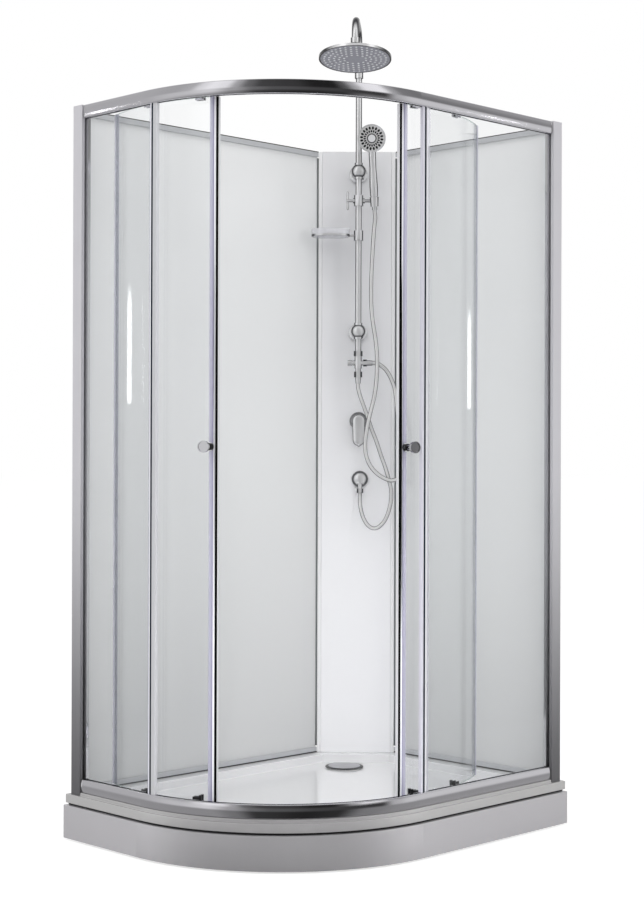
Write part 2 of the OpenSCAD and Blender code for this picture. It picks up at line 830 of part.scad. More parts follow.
// One bottom guide: a clip over the glass's bottom edge with a raised end, and a hook that
// reaches under the bottom rail's ledge.
module bottom_guide() {
    hook_height = sill + frame_top - wheel_height;
    union() {
        translate([door_inner - 6, -clamp_width / 2, door_bottom - 2.5])
            cube([glass_thickness + 10, clamp_width, 12.5]);
        translate([door_inner - 6, -clamp_width / 2, door_bottom - 2.5])
            cube([glass_thickness + 10, 7, guide_peak + 2.5]);
        translate([plate_outer - 5, -clamp_width / 2 + 4, hook_height - 8])
            cube([arm_plate, clamp_width - 8, door_bottom + 8 - hook_height]);
        translate([plate_outer - 2, 0, hook_height]) rotate([0, 90, 0])
            cylinder(r = 4, h = wheel_track + 3 - plate_outer);
        translate([wheel_track - 2, 0, hook_height]) rotate([0, 90, 0]) cylinder(r = 7, h = 5);
    }
}

module guides_of_door() difference() {
    for (angle = roller_angles) rotate([0, 0, angle]) bottom_guide();
    glass_seat_of_door();
}

module wheel_of_door(angle) rotate([0, 0, angle]) translate([wheel_track, 0, wheel_height]) rotate([0, 90, 0])
    difference() {
        cylinder(r = wheel_radius, h = wheel_width, center = true);
        cylinder(r = axle_radius + running_gap, h = wheel_width + 2, center = true);
        for (turn = [0:60:300]) rotate([0, 0, turn]) translate([wheel_radius * 0.64, 0, 0])
            cylinder(r = 1.2, h = wheel_width + 2, center = true, $fn = 16);
    }

module right_door_glass() color("lightcyan", 0.4) right_door() glass_of_door();

module right_magnet_seal() color("lavender") right_door() magnet_seal_of_door();

module right_trailing_seal() color("lavender") right_door() trailing_seal_of_door();

module right_handle() color("silver") right_door() handle_of_door();

module right_handle_rings() color("black") right_door() handle_rings_of_door();

module right_roller_housings() color("silver") right_door() roller_housings_of_door();

module right_guides() color("black") right_door() guides_of_door();

module right_wheel_front() color("ivory") right_door() wheel_of_door(roller_angles[0]);

module right_wheel_rear() color("ivory") right_door() wheel_of_door(roller_angles[1]);

module left_door_glass() color("lightcyan", 0.4) left_door() glass_of_door();

module left_magnet_seal() color("lavender") left_door() magnet_seal_of_door();

module left_trailing_seal() color("lavender") left_door() trailing_seal_of_door();

module left_handle() color("silver") left_door() handle_of_door();

module left_handle_rings() color("black") left_door() handle_rings_of_door();

module left_roller_housings() color("silver") left_door() roller_housings_of_door();

module left_guides() color("black") left_door() guides_of_door();

module left_wheel_front() color("ivory") left_door() wheel_of_door(roller_angles[0]);

module left_wheel_rear() color("ivory") left_door() wheel_of_door(roller_angles[1]);

// Shower column

module on_riser(height) {
    at_panel() translate([riser_across, -riser_offset, height]) children();
}

module riser_pipe() color("silver") {
    low = diverter_height + 30;
    on_riser(low) tube(riser_radius, riser_radius - 2, riser_joint_height - 8 - low);
}

module tube(outer, inner, length) difference() {
    cylinder(r = outer, h = length);
    translate([0, 0, -1]) cylinder(r = inner, h = length + 2);
}

// The overhead arm: a nut on the riser, a straight piece, a half circle and the end of the tube.
arm_rise = frame_top + arm_end_height - riser_joint_height;

module overhead_arm() color("silver") on_riser(riser_joint_height) rotate([0, 0, -arm_turn]) {
    union() {
        difference() {
            translate([0, 0, -16]) cylinder(r = riser_radius + 3.5, h = 22);
            translate([0, 0, -17]) cylinder(r = riser_radius + fixed_gap, h = 9);
        }
        translate([0, 0, 5]) cylinder(r = arm_tube_radius, h = arm_rise - 5);
        translate([0, -arm_radius, arm_rise]) arm_bend();
        translate([0, -arm_radius, arm_rise + arm_radius]) outwards()
            cylinder(r = arm_tube_radius, h = arm_reach - 2 * arm_radius);
        translate([0, arm_radius - arm_reach, arm_rise]) mirror([0, 1, 0]) arm_bend();
    }
}

// A quarter bend that rises at its outer end and leaves towards the cabin at its top.
module arm_bend() {
    rotate([0, -90, 0]) rotate_extrude(angle = 90) translate([arm_radius, 0]) circle(r = arm_tube_radius);
}

// The joint under the arm's end turns on the tube, and the shower tilts on its ball.
ball_radius = 13;
joint_drop = 26;

module at_arm_end() {
    on_riser(riser_joint_height + arm_rise) rotate([0, 0, -arm_turn]) translate([0, -arm_reach, 0])
        children();
}

module arm_joint() color("silver") at_arm_end() {
    union() {
        translate([0, 0, -16]) cylinder(r = arm_tube_radius + 3, h = 16 - soft_gap);
        translate([0, 0, -joint_drop]) sphere(r = ball_radius);
    }
}

module at_ball() {
    at_arm_end() translate([0, 0, -joint_drop]) rotate([-overhead_tilt, 0, 0]) children();
}

socket = ball_radius + 0.3;

module overhead_shower() color("silver") at_ball() difference() {
    union() {
        translate([0, 0, -22]) cylinder(r1 = socket + 9, r2 = socket + 1.5, h = 26);
        translate([0, 0, -30]) cylinder(r1 = overhead_radius - 12, r2 = socket + 9, h = 9);
        translate([0, 0, -34]) cylinder(r1 = overhead_radius, r2 = overhead_radius - 12, h = 4);
        translate([0, 0, -42]) cylinder(r = overhead_radius, h = 8);
    }
    sphere(r = socket);
    translate([0, 0, -43]) cylinder(r = overhead_radius - 5, h = 5);
    translate([0, 0, -39]) cylinder(r = overhead_radius - 9, h = 5);
}

module overhead_face() color("gray") at_ball() translate([0, 0, -42]) {
    union() {
        cylinder(r = overhead_radius - 5 - fixed_gap, h = 4);
        for (ring = [1:overhead_rings]) {
            count = 6 + 6 * ring;
            reach = 34 + (overhead_radius - 50) * (ring - 1) / (overhead_rings - 1);
            for (step = [0:count - 1]) rotate([0, 0, 360 / count * (step + ring / 2)])
                translate([reach, 0, -2]) cylinder(r = 2, h = 3, $fn = 6);
        }
    }
}

module riser_bracket(height) {
    union() {
        at_panel() translate([riser_across, 0, height]) outwards() cylinder(r = bracket_rosette_radius, h = 6);
        at_panel() translate([riser_across, -6, height]) outwards()
            cylinder(r1 = bracket_rosette_radius, r2 = bracket_rosette_radius - 7, h = 5);
        at_panel() translate([riser_across, -8, height]) outwards() cylinder(r = 13, h = riser_offset - 14);
        on_riser(height) sphere(r = bracket_ball_radius);
        on_riser(height - bracket_ball_radius - 3) cylinder(r = riser_radius + 3, h = 12);
        on_riser(height + bracket_ball_radius - 9) cylinder(r = riser_radius + 3, h = 12);
    }
}

module riser_brackets() color("silver") for (height = [upper_bracket_height, lower_bracket_height]) {
    difference() {
        riser_bracket(height);
        on_riser(height - 60) cylinder(r = riser_radius + fixed_gap, h = 120);
        at_panel() translate([riser_across + 15, -5, height - 15]) outwards() cylinder(r = 3, h = 20);
    }
}

module bracket_screws() color("dimgray")
    for (height = [upper_bracket_height, lower_bracket_height])
        at_panel() translate([riser_across + 15, -5, height - 15]) outwards()
            difference() {
                cylinder(r = 3 - fixed_gap, h = 8);
                translate([0, 0, 5]) cylinder(r = 1.5, h = 6, $fn = 6);
            }

module slider() color("silver") on_riser(slider_height) difference() {
    union() {
        translate([0, 0, -17]) cylinder(r = 15, h = 34);
        rotate([0, -90, 0]) cylinder(r = 8, h = 18);
        rotate([0, 90, 0]) cylinder(r = 8, h = 20);
        rotate([0, 90, 0]) cylinder(r = 5, h = holder_arm - 14);
    }
    translate([0, 0, -30]) cylinder(r = riser_radius + running_gap, h = 60);
    rotate([0, -90, 0]) translate([0, 0, 13]) cylinder(r = 4 + running_gap, h = 10);
}

module slider_knob() color("silver") on_riser(slider_height) union() {
    rotate([0, -90, 0]) translate([0, 0, 13.5]) cylinder(r = 4, h = 19);
    translate([-35, 0, 0]) rotate([0, 90, 0]) cylinder(r = 5, h = 8, center = true);
    translate([-35, 0, -26]) cylinder(r = 3.5, h = 52);
    translate([-35, 0, -26]) sphere(r = 3.5);
    translate([-35, 0, 26]) sphere(r = 3.5);
}

module at_holder() {
    at_panel() translate(holder_at) rotate([handset_tilt, -handset_lean, 0]) children();
}

// The holder is a tapered cup on a pin that turns in the slider's arm.
module handset_holder() color("silver") difference() {
    union() {
        at_holder() translate([0, 0, -15]) cylinder(r1 = 12.5, r2 = 14.5, h = 30);
        at_panel() translate([riser_across + holder_arm - 14 + soft_gap, -riser_offset, slider_height])
            rotate([0, 90, 0]) cylinder(r = 7, h = 8);
        at_panel() translate([riser_across + holder_arm - 8, -riser_offset - 3, slider_height - 4])
            rotate([0, 90, 0]) cylinder(r = 7, h = 6);
    }
    at_holder() translate([0, 0, -16]) cylinder(r1 = 8.8 + soft_gap, r2 = 11.2 + soft_gap, h = 32);
}

// The handset in its own frame: +Z up its handle and -Y out of its face.
module handset() color("silver") at_holder() difference() {
    union() {
        translate([0, 0, -tail_drop]) cylinder(r = 8.4, h = tail_drop - 16);
        translate([0, 0, -17]) cylinder(r1 = 8.7, r2 = 11.3, h = 34.5);
        translate([0, 0, 17.5]) cylinder(r1 = 12.5, r2 = 13.5, h = 30);
        translate([0, 0, 47.5]) cylinder(r1 = 13.5, r2 = 11, h = 60);
        translate([0, 0, 107.5]) cylinder(r1 = 11, r2 = 12, h = handset_length - handset_radius - 100);
        translate([0, 6, handset_length]) outwards() cylinder(r = handset_radius, h = 14);
        translate([0, 16, handset_length]) outwards()
            cylinder(r1 = handset_radius - 14, r2 = handset_radius, h = 10);
    }
    translate([0, -6, handset_length]) outwards() cylinder(r = handset_radius - 4, h = 10);
    translate([0, 4, handset_length]) outwards() cylinder(r = handset_radius - 7, h = 11);
    translate([0, 0, -tail_drop - 1]) cylinder(r = 5, h = tail_drop + 20);
    translate([0, 0, 18]) cylinder(r = 8, h = handset_length - handset_radius + 10);
}

module handset_face() color("gray") at_holder() translate([0, -6, handset_length]) outwards() {
    difference() {
        union() {
            cylinder(r = handset_radius - 4 - fixed_gap, h = 2.5);
            translate([0, 0, 2.5]) ring_up(13, 16.5, 0.8);
            translate([0, 0, 2.5]) cylinder(r = 11, h = 0.5);
        }
        for (ring = [0, 1]) for (step = [0:handset_slots - 1])
            rotate([0, 0, 360 / handset_slots * (step + ring / 2)])
                translate([23 + 10 * ring, 0, 1]) cylinder(r = 1.6 + 0.5 * ring, h = 4, $fn = 6);
    }
}

module ring_up(inner, outer, height) difference() {
    cylinder(r = outer, h = height);
    translate([0, 0, -1]) cylinder(r = inner, h = height + 2);
}

// Soap dish: a ring on a clamp that slides on the riser, and the slotted dish that lies in it.
module dish_plan(grow) {
    half = dish_half_length - dish_half_depth;
    translate([-half, 0]) circle(r = dish_half_depth + grow);
    translate([half, 0]) circle(r = dish_half_depth + grow);
    translate([-half, -dish_half_depth - grow]) square([2 * half, 2 * (dish_half_depth + grow)]);
}

module soap_dish_ring() color("silver") difference() {
    union() {
        on_riser(dish_height - 14) cylinder(r = 15, h = 32);
        on_riser(dish_height) translate([-dish_across + dish_half_length - 3, -6, -1])
            cube([dish_across - dish_half_length + 3, 12, 6]);
        on_riser(dish_height - 8) outwards() cylinder(r = 5, h = 22);
        on_riser(dish_height) translate([-dish_across, 0, -1]) linear_extrude(height = 6) dish_plan(0);
    }
    on_riser(dish_height) translate([-dish_across, 0, -2]) linear_extrude(height = 8) dish_plan(-4);
    on_riser(dish_height - 30) cylinder(r = riser_radius + running_gap, h = 60);
}

module soap_dish() color("whitesmoke") on_riser(dish_height) translate([-dish_across, 0, 0]) difference() {
    union() {
        translate([0, 0, -3]) linear_extrude(height = 8.3) dish_plan(-4 - soft_gap);
        translate([0, 0, 5.3]) linear_extrude(height = dish_wall_height - 5.3) dish_plan(-0.5);
    }
    linear_extrude(height = dish_wall_height + 1) dish_plan(-7);
    for (step = [-3:3]) translate([step * 12 - 2.5, -dish_half_depth + 14, -4])
        cube([5, 2 * dish_half_depth - 28, 5]);
}

// Diverter under the riser, with its knob to the left and the handset's hose to the right.
module diverter() color("silver") on_riser(diverter_height) difference() {
    union() {
        translate([0, 0, -18]) cylinder(r = 11.5, h = 40);
        translate([0, 0, 22]) cylinder(r = 14, h = 16, $fn = 6);
        translate([0, 0, -28]) cylinder(r = 9, h = 12);
        translate([0, 0, -46]) cylinder(r = 13, h = 18, $fn = 6);
        translate([0, 0, -66]) cylinder(r1 = 8, r2 = 9.5, h = 20);
        rotate([0, 90, 0]) cylinder(r = 8, h = 16);
        rotate([0, 90, 0]) translate([0, 0, 16]) cylinder(r = 11, h = 12, $fn = 6);
        rotate([0, 90, 0]) translate([0, 0, 28]) cylinder(r1 = 9, r2 = 8, h = 18);
        rotate([0, -90, 0]) cylinder(r = 8, h = 16);
    }
    translate([0, 0, 30]) cylinder(r = riser_radius + fixed_gap, h = 20);
    rotate([0, -90, 0]) translate([0, 0, 6]) cylinder(r = 4 + running_gap, h = 12);
}

module diverter_knob() color("silver") on_riser(diverter_height) rotate([0, -90, 0]) difference() {
    union() {
        translate([0, 0, 6.5]) cylinder(r = 4, h = 14);
        translate([0, 0, 16.5]) cylinder(r1 = 7, r2 = 8.5, h = 4);
        translate([0, 0, 20.5]) cylinder(r = 8.5, h = 13);
    }
    for (turn = [0:45:315]) rotate([0, 0, turn]) translate([9.6, 0, 19]) cylinder(r = 2, h = 16, $fn = 16);
}

// Mixer

module at_mixer() {
    at_panel() translate([mixer_across, 0, mixer_height]) children();
}

module mixer_rosette() color("silver") at_mixer() outwards() difference() {
    union() {
        cylinder(r = mixer_rosette_radius, h = 5);
        translate([0, 0, 5]) cylinder(r1 = mixer_rosette_radius, r2 = 22, h = 9);
    }
    translate([0, 0, -1]) cylinder(r = 18 + running_gap, h = 20);
}

// The cartridge turns in the rosette and carries the lever in a slot at its front.
module mixer_cartridge() color("silver") at_mixer() outwards() difference() {
    translate([0, 0, soft_gap - corner_panel_thickness]) cylinder(r = 18, h = 28 + corner_panel_thickness);
    translate([-4 - soft_gap, 2, 14]) cube([8 + 2 * soft_gap, 30, 20]);
}

module lever_plan() {
    translate([0, 0]) circle(r = lever_half_width);
    translate([0, -62]) circle(r = lever_half_width - 2);
    polygon([[-lever_half_width, 0], [lever_half_width, 0], [lever_half_width - 2, -62], [2 - lever_half_width, -62]]);
}

module mixer_lever() color("silver") at_mixer() outwards() union() {
    translate([0, 0, 30]) linear_extrude(height = 10) lever_plan();
    translate([0, 0, 39]) linear_extrude(height = 4) translate([0, -4]) scale(0.86) lever_plan();
    translate([-4, 5, 16]) cube([8, 12, 15]);
    translate([0, -62 - lever_half_width + 4, 37]) sphere(r = 5);
}

// The hidden valve behind the panel, with its two inlets and the pipe down to the wall outlet.
module mixer_valve() color("peru") at_panel() union() {
    back = corner_panel_thickness;
    translate([mixer_across, back + 34, mixer_height]) outwards() cylinder(r = 24, h = 34 - fixed_gap);
    translate([mixer_across - 42, back + 20, mixer_height - 14]) cube([84, 24, 28]);
    for (side = [-30, 30]) translate([mixer_across + side, back + 40, mixer_height]) rotate([-90, 0, 0])
        cylinder(r = inlet_radius, h = inlet_length + 4);
    translate([outlet_across, back + 26, outlet_height]) cylinder(r = 8, h = mixer_height - outlet_height);
    translate([outlet_across, back + 26, outlet_height]) sphere(r = 8);
    translate([outlet_across, back + 26, outlet_height]) outwards() cylinder(r = 8, h = 26);
}

module wall_outlet() color("silver") at_panel() union() {
    translate([outlet_across, 0, outlet_height]) outwards() cylinder(r = outlet_radius + 1, h = 4);
    intersection() {
        translate([outlet_across, -2, outlet_height]) sphere(r = outlet_radius);
        translate([outlet_across - 40, -41, outlet_height - 40]) cube([80, 38, 80]);
    }
    translate([outlet_across, corner_panel_thickness, outlet_height]) outwards() cylinder(r = 10, h = 14);
    translate([outlet_across, -20, outlet_height - 33]) cylinder(r = 7.5, h = 20);
    translate([outlet_across, -20, outlet_height - 45]) cylinder(r = 10.5, h = 14, $fn = 6);
}

// Hoses

// A point of a smooth curve through a route, part of the way from one point to the next.
function between(a, b, c, d, t) =
    b + t * ((c - a) + t * (2 * a - 5 * b + 4 * c - d + t * (3 * b - a - 3 * c + d))) / 2;

function clamped(route, i) = route[min(max(i, 0), len(route) - 1)];

function curve_through(route, steps) = [
    for (i = [0:len(route) - 2]) for (k = [0:steps - 1])
        between(clamped(route, i - 1), route[i], route[i + 1], clamped(route, i + 2), k / steps),
    route[len(route) - 1]
];

function unit(v) = v / norm(v);

function heading(points, i) =
    unit(points[min(i + 1, len(points) - 1)] - points[max(i - 1, 0)]);

// A closed tube swept along a curve. Both hoses lie along the panel, so each ring is turned
// from the direction out of the panel.
module swept_tube(points, radius, sides) {
    last = len(points) - 1;
    rings = [
        for (i = [0:last])
            let (ahead = heading(points, i), across = unit(cross([0, 1, 0], ahead)), out = cross(ahead, across))
                for (k = [0:sides - 1])
                    points[i] + radius * (cos(360 * k / sides) * across + sin(360 * k / sides) * out)
    ];
    walls = [
        for (i = [0:last - 1]) for (k = [0:sides - 1])
            let (a = i * sides + k, b = i * sides + (k + 1) % sides)
                [a, a + sides, b + sides, b]
    ];
    caps = [[for (k = [0:sides - 1]) k], [for (k = [sides - 1:-1:0]) last * sides + k]];
    polyhedron(points = rings, faces = concat(walls, caps));
}

// The end rings sit square on what they meet, so a short straight is added at each end.
module handset_hose() color("silver") at_panel() {
    start = [riser_across + 46 + soft_gap, -riser_offset, diverter_height];
    route = concat([start + [7, 0, 0]], handset_route, [below_holder(tail_drop + 30), below_holder(tail_drop + 7)]);
    swept_tube(concat([start], curve_through(route, 2), [below_holder(tail_drop + soft_gap)]),
        handset_hose_radius, 10);
}

module supply_hose() color("silver") at_panel() {
    start = [outlet_across, -20, outlet_height - 45 - soft_gap];
    end = [riser_across, -riser_offset, diverter_height - 66 - soft_gap];
    route = concat([start - [0, 0, 7]], supply_route, [end - [0, 0, 7]]);
    swept_tube(concat([start], curve_through(route, 1), [end]), supply_hose_radius, 10);
}
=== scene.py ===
import math
import bpy
import numpy as np
from mathutils import Matrix, Vector


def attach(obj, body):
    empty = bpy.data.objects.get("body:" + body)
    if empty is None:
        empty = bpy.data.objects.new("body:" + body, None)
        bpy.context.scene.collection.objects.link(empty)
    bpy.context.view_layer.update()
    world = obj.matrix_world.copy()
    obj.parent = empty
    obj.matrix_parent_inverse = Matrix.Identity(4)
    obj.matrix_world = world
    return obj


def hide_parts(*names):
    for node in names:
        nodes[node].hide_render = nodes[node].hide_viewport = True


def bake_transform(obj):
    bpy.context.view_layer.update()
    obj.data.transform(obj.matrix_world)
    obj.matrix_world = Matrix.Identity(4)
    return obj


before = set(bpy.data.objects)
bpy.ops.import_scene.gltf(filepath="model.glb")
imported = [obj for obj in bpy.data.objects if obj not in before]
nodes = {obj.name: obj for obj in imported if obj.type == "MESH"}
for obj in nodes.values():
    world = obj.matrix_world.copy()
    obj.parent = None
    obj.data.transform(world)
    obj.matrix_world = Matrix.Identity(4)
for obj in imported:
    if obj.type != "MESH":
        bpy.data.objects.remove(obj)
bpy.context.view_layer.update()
scene = bpy.context.scene
print("frame loaded:", len(nodes), "solids")

# Camera: where the photograph was taken from
cameraView = {
    "stand": (-3.5026, -3.5231, 1.1016),
    "heading": -44.8344,  # degrees from +Y, below 0 to its right
    "pitch": 0.0941,
    "roll": 0.1832,
    "lens": 68.325,
}


def makeCamera(settings):
    az, pitch, roll = (math.radians(settings[key]) for key in ("heading", "pitch", "roll"))
    ahead = Vector((-math.sin(az), math.cos(az), 0))
    right = Vector((math.cos(az), math.sin(az), 0))
    up = Vector((0, 0, 1))
    look = ahead * math.cos(pitch) + up * math.sin(pitch)
    rise = up * math.cos(pitch) - ahead * math.sin(pitch)
    across = right * math.cos(roll) + rise * math.sin(roll)
    top = rise * math.cos(roll) - right * math.sin(roll)
    data = bpy.data.cameras.new("photographCamera")
    data.sensor_fit = "VERTICAL"
    data.sensor_height = 36
    data.lens = settings["lens"]
    data.clip_start, data.clip_end = 0.1, 300
    camera = bpy.data.objects.new("photographCamera", data)
    turned = Matrix((across, top, -look)).transposed().to_4x4()
    camera.matrix_world = Matrix.Translation(settings["stand"]) @ turned
    scene.collection.objects.link(camera)
    scene.camera = camera


makeCamera(cameraView)
scene.view_settings.view_transform = "Standard"

# Shader wiring


class Wire:
    # A shader socket that takes part in sums: 1 - wire * 2 adds the Math nodes that work it out.
    def __init__(self, tree, socket):
        self.tree, self.socket = tree, socket

    def __add__(self, other):
        return maths(self.tree, "ADD", self, other)

    __radd__ = __add__

    def __sub__(self, other):
        return maths(self.tree, "SUBTRACT", self, other)

    def __rsub__(self, other):
        return maths(self.tree, "SUBTRACT", other, self)

    def __mul__(self, other):
        return maths(self.tree, "MULTIPLY", self, other)

    __rmul__ = __mul__

    def __truediv__(self, other):
        return maths(self.tree, "DIVIDE", self, other)

    def __pow__(self, other):
        return maths(self.tree, "POWER", self, other)

    def out(self, name):  # another output of the same node
        return Wire(self.tree, self.socket.node.outputs[name])


def plug(tree, socket, value):
    if isinstance(value, Wire):
        tree.links.new(value.socket, socket)
    elif isinstance(value, (tuple, list)) and len(socket.default_value) == 4:
        socket.default_value = (*value, 1) if len(value) == 3 else value
    else:
        socket.default_value = value


def maths(tree, operation, *values):
    step = tree.nodes.new("ShaderNodeMath")
    step.operation = operation
    for place, value in enumerate(values):
        plug(tree, step.inputs[place], value)
    return Wire(tree, step.outputs[0])


class Finish:
    # One material or world, whose nodes are all made by node().
    def __init__(self, name, owner=None):
        self.owner = owner or bpy.data.materials.new(name)
        self.owner.use_nodes = True
        self.tree = self.owner.node_tree
        self.tree.nodes.clear()

    def node(self, kind, settings=None, sockets=None, out=0):
        made = self.tree.nodes.new(kind)
        for key, value in (settings or {}).items():
            if key == "stops":
                ramp = made.color_ramp
                while len(ramp.elements) < len(value):
                    ramp.elements.new(1)
                for stop, (place, colour) in zip(ramp.elements, value):
                    stop.position = place
                    stop.color = (*colour, 1) if isinstance(colour, tuple) else (colour, colour, colour, 1)
            else:
                setattr(made, key, value)
        for key, value in (sockets or {}).items():
            plug(self.tree, made.inputs[key], value)
        return Wire(self.tree, made.outputs[out]) if made.outputs else None

    def point(self):  # the place on the object, in metres
        return self.node("ShaderNodeTexCoord", out="Object")

    def axes(self):
        split = self.node("ShaderNodeSeparateXYZ", {}, {0: self.point()})
        return split, split.out("Y"), split.out("Z")

    def stretched(self, scale):
        return self.node("ShaderNodeMapping", {}, {"Vector": self.point(), "Scale": scale})

    def noise(self, scale, detail=2.0, rough=0.5, vector=None):
        sockets = {"Vector": vector or self.point(), "Scale": scale, "Detail": detail, "Roughness": rough}
        return self.node("ShaderNodeTexNoise", {}, sockets)

    def ramp(self, value, stops, interpolation="LINEAR"):
        wire = self.node("ShaderNodeValToRGB", {"stops": stops}, {"Fac": value})
        wire.socket.node.color_ramp.interpolation = interpolation
        return wire

    def mix(self, factor, low, high, blend="MIX"):
        return self.node("ShaderNodeMix", {"data_type": "RGBA", "blend_type": blend},
                         {0: factor, 6: low, 7: high}, out=2)

    def step(self, value, low, high):  # 0 below low, 1 above high, smooth between
        return self.node("ShaderNodeMapRange", {"interpolation_type": "SMOOTHSTEP"},
                         {"Value": value, "From Min": low, "From Max": high})

    def between(self, value, low, high, soft):  # 1 between low and high
        return self.step(value, low - soft, low + soft) - self.step(value, high - soft, high + soft)

    def bump(self, height, strength, depth):
        return self.node("ShaderNodeBump", {}, {"Height": height, "Strength": strength, "Distance": depth})

    def surface(self, colour, rough, metal=0.0, bump=None, **more):
        sockets = {"Base Color": colour, "Roughness": rough, "Metallic": metal}
        sockets.update({key.replace("_", " "): value for key, value in more.items()})
        if bump is not None:
            sockets["Normal"] = bump
        return self.node("ShaderNodeBsdfPrincipled", {}, sockets)

    def done(self, shader):
        self.node("ShaderNodeOutputMaterial", {}, {"Surface": shader})
        return self.owner


# Finishes of the cabin

# Tones of the plastics. Front and side are painted shade on the tray's and the apron's outer faces, where those
# face forwards and where they face sideways. Groove is how much black painted shade lies along the tray's
# groove above
# the apron. Shade is painted shade: how bright the foot and the top are, and where in between it changes.
plasticTones = {
    "tray": {
        "pale": (0.88, 0.88, 0.89), "deep": (0.85, 0.85, 0.865), "rough": 0.13, "coat": 0.3, "groove": 1.0,
        "front": ((0.29, 0.285, 0.29), (0.32, 0.315, 0.32)),
        "side": ((0.45, 0.445, 0.45), (0.49, 0.485, 0.48)),
    },
    "apron": {
        "pale": (0.50, 0.49, 0.51), "deep": (0.47, 0.46, 0.48), "rough": 0.18, "coat": 0.25, "groove": 0.0,
        "front": ((0.27, 0.265, 0.275), (0.30, 0.295, 0.305)),
        "side": ((0.47, 0.46, 0.48), (0.50, 0.49, 0.51)),
    },
    "wallSheet": {
        "pale": (0.875, 0.88, 0.885), "deep": (0.855, 0.865, 0.865), "rough": 0.12, "coat": 0.4,
        "shade": {"foot": 0.80, "top": 1.0, "from": 0.2, "to": 1.3},
    },
    "cornerPanel": {
        "pale": (0.975, 0.975, 0.99), "deep": (0.945, 0.945, 0.97), "rough": 0.10, "coat": 0.4,
        "shade": {"foot": 1.0, "top": 0.88, "from": 0.7, "to": 2.1},
    },
    "cornerStrip": {"pale": (0.90, 0.90, 0.91), "deep": (0.86, 0.86, 0.87), "rough": 0.30, "coat": 0.1},
    "trap": {"pale": (0.80, 0.80, 0.80), "deep": (0.74, 0.74, 0.75), "rough": 0.45, "coat": 0.0},
    "nylon": {"pale": (0.80, 0.79, 0.74), "deep": (0.72, 0.71, 0.66), "rough": 0.38, "coat": 0.1},
    "blackPlastic": {
        "pale": (0.006, 0.006, 0.007), "deep": (0.004, 0.004, 0.005), "rough": 0.38, "coat": 0.05,
    },
}

# The tray's outline in metres: the bend's centre, how far from it the outer faces begin, and the groove's top,
# below which the groove is painted black as shade
trayOutline = {"bend": (-0.045, 0.110), "inside": 0.525, "outside": 0.529, "groove": (0.1044, 0.1052)}


def outerFace(finish):
    # Where the painted shade goes: how surely a point lies on the tray's outer faces, how squarely those face
    # forwards there, and whether it lies in the groove above the apron. Ahead of the bend's centre the outline
    # is a rounded corner, whose distance is the length of (min(x, 0), min(y, 0)).
    x, y, z = finish.axes()
    bendX, bendY = trayOutline["bend"]
    dx, dy = (maths(finish.tree, "MINIMUM", part, 0.0) for part in (x - bendX, y - bendY))
    reach = maths(finish.tree, "SQRT", dx * dx + dy * dy)
    groove = 1 - finish.step(z, *trayOutline["groove"])
    ahead = (dx + dy) / (maths(finish.tree, "MAXIMUM", reach, 0.01) * -math.sqrt(2))
    return finish.step(reach, trayOutline["inside"], trayOutline["outside"]), ahead, groove


def glossPlastic(name):
    # Cast or rolled plastic: cloudy tone, a fine orange peel and a clear coat that is a little uneven, with
    # painted shade where its tone gives it.
    tone = plasticTones[name]
    finish = Finish(name)
    cloud = finish.noise(2.6, 3.0)
    peel = finish.noise(420.0, 1.0)
    wave = finish.noise(9.0, 1.0)
    grime = finish.noise(38.0, 4.0, 0.6)
    colour = finish.mix(cloud, tone["deep"], tone["pale"])
    if "front" in tone:  # painted shade: the outer faces are painted greyer, most of all where the bend faces forwards, and the groove black
        outer, ahead, groove = outerFace(finish)
        front, side = (finish.mix(cloud, *tone[key]) for key in ("front", "side"))
        paintedShadeTone = finish.mix(finish.step(ahead, 0.74, 0.98), side, front)
        # painted shade: the darker outer faces and the black line in the groove
        colour = finish.mix(outer, colour, finish.mix(groove * tone["groove"], paintedShadeTone, (0.008, 0.008, 0.008)))
    if "shade" in tone:  # painted shade: the walls darker towards their foot, the corner panel darker towards its top
        shade = tone["shade"]
        climb = finish.step(finish.axes()[2], shade["from"], shade["to"])
        paintedShadeTint = finish.mix(climb, (shade["foot"],) * 3, (shade["top"],) * 3)
        colour = finish.mix(1.0, colour, paintedShadeTint, "MULTIPLY")
    rough = tone["rough"] + (grime - 0.5) * 0.10
    height = peel * 0.25 + wave
    return finish.done(finish.surface(colour, rough, bump=finish.bump(height, 0.12, 0.0006),
                                      Coat_Weight=tone["coat"], Coat_Roughness=0.04))


# Grain is how often the lines change along x, y and z, and depth is how deep they are, in metres. Low is how
# dark the satin uprights are painted at their foot, a painted reflection of the dim floor.
metalTones = {
    "satinUpright": {"colour": (0.80, 0.79, 0.83), "rough": 0.42, "grain": (900, 900, 5), "depth": 0.00008,
                     "metal": 0.45, "low": 0.20},
    "rail": {"colour": (0.84, 0.83, 0.87), "rough": 0.08, "grain": (5, 5, 1600), "depth": 0.00004},
    "brightTrim": {"colour": (0.86, 0.86, 0.88), "rough": 0.07, "grain": (500, 500, 6), "depth": 0.00002},
    "galvanised": {"colour": (0.42, 0.43, 0.45), "rough": 0.48, "grain": (60, 60, 60), "depth": 0.0002},
    "zinc": {"colour": (0.62, 0.62, 0.64), "rough": 0.34, "grain": (90, 90, 500), "depth": 0.0001},
    "screwSteel": {"colour": (0.30, 0.30, 0.32), "rough": 0.30, "grain": (300, 300, 300), "depth": 0.0001},
    "brass": {"colour": (0.66, 0.47, 0.22), "rough": 0.36, "grain": (140, 140, 140), "depth": 0.0002},
}


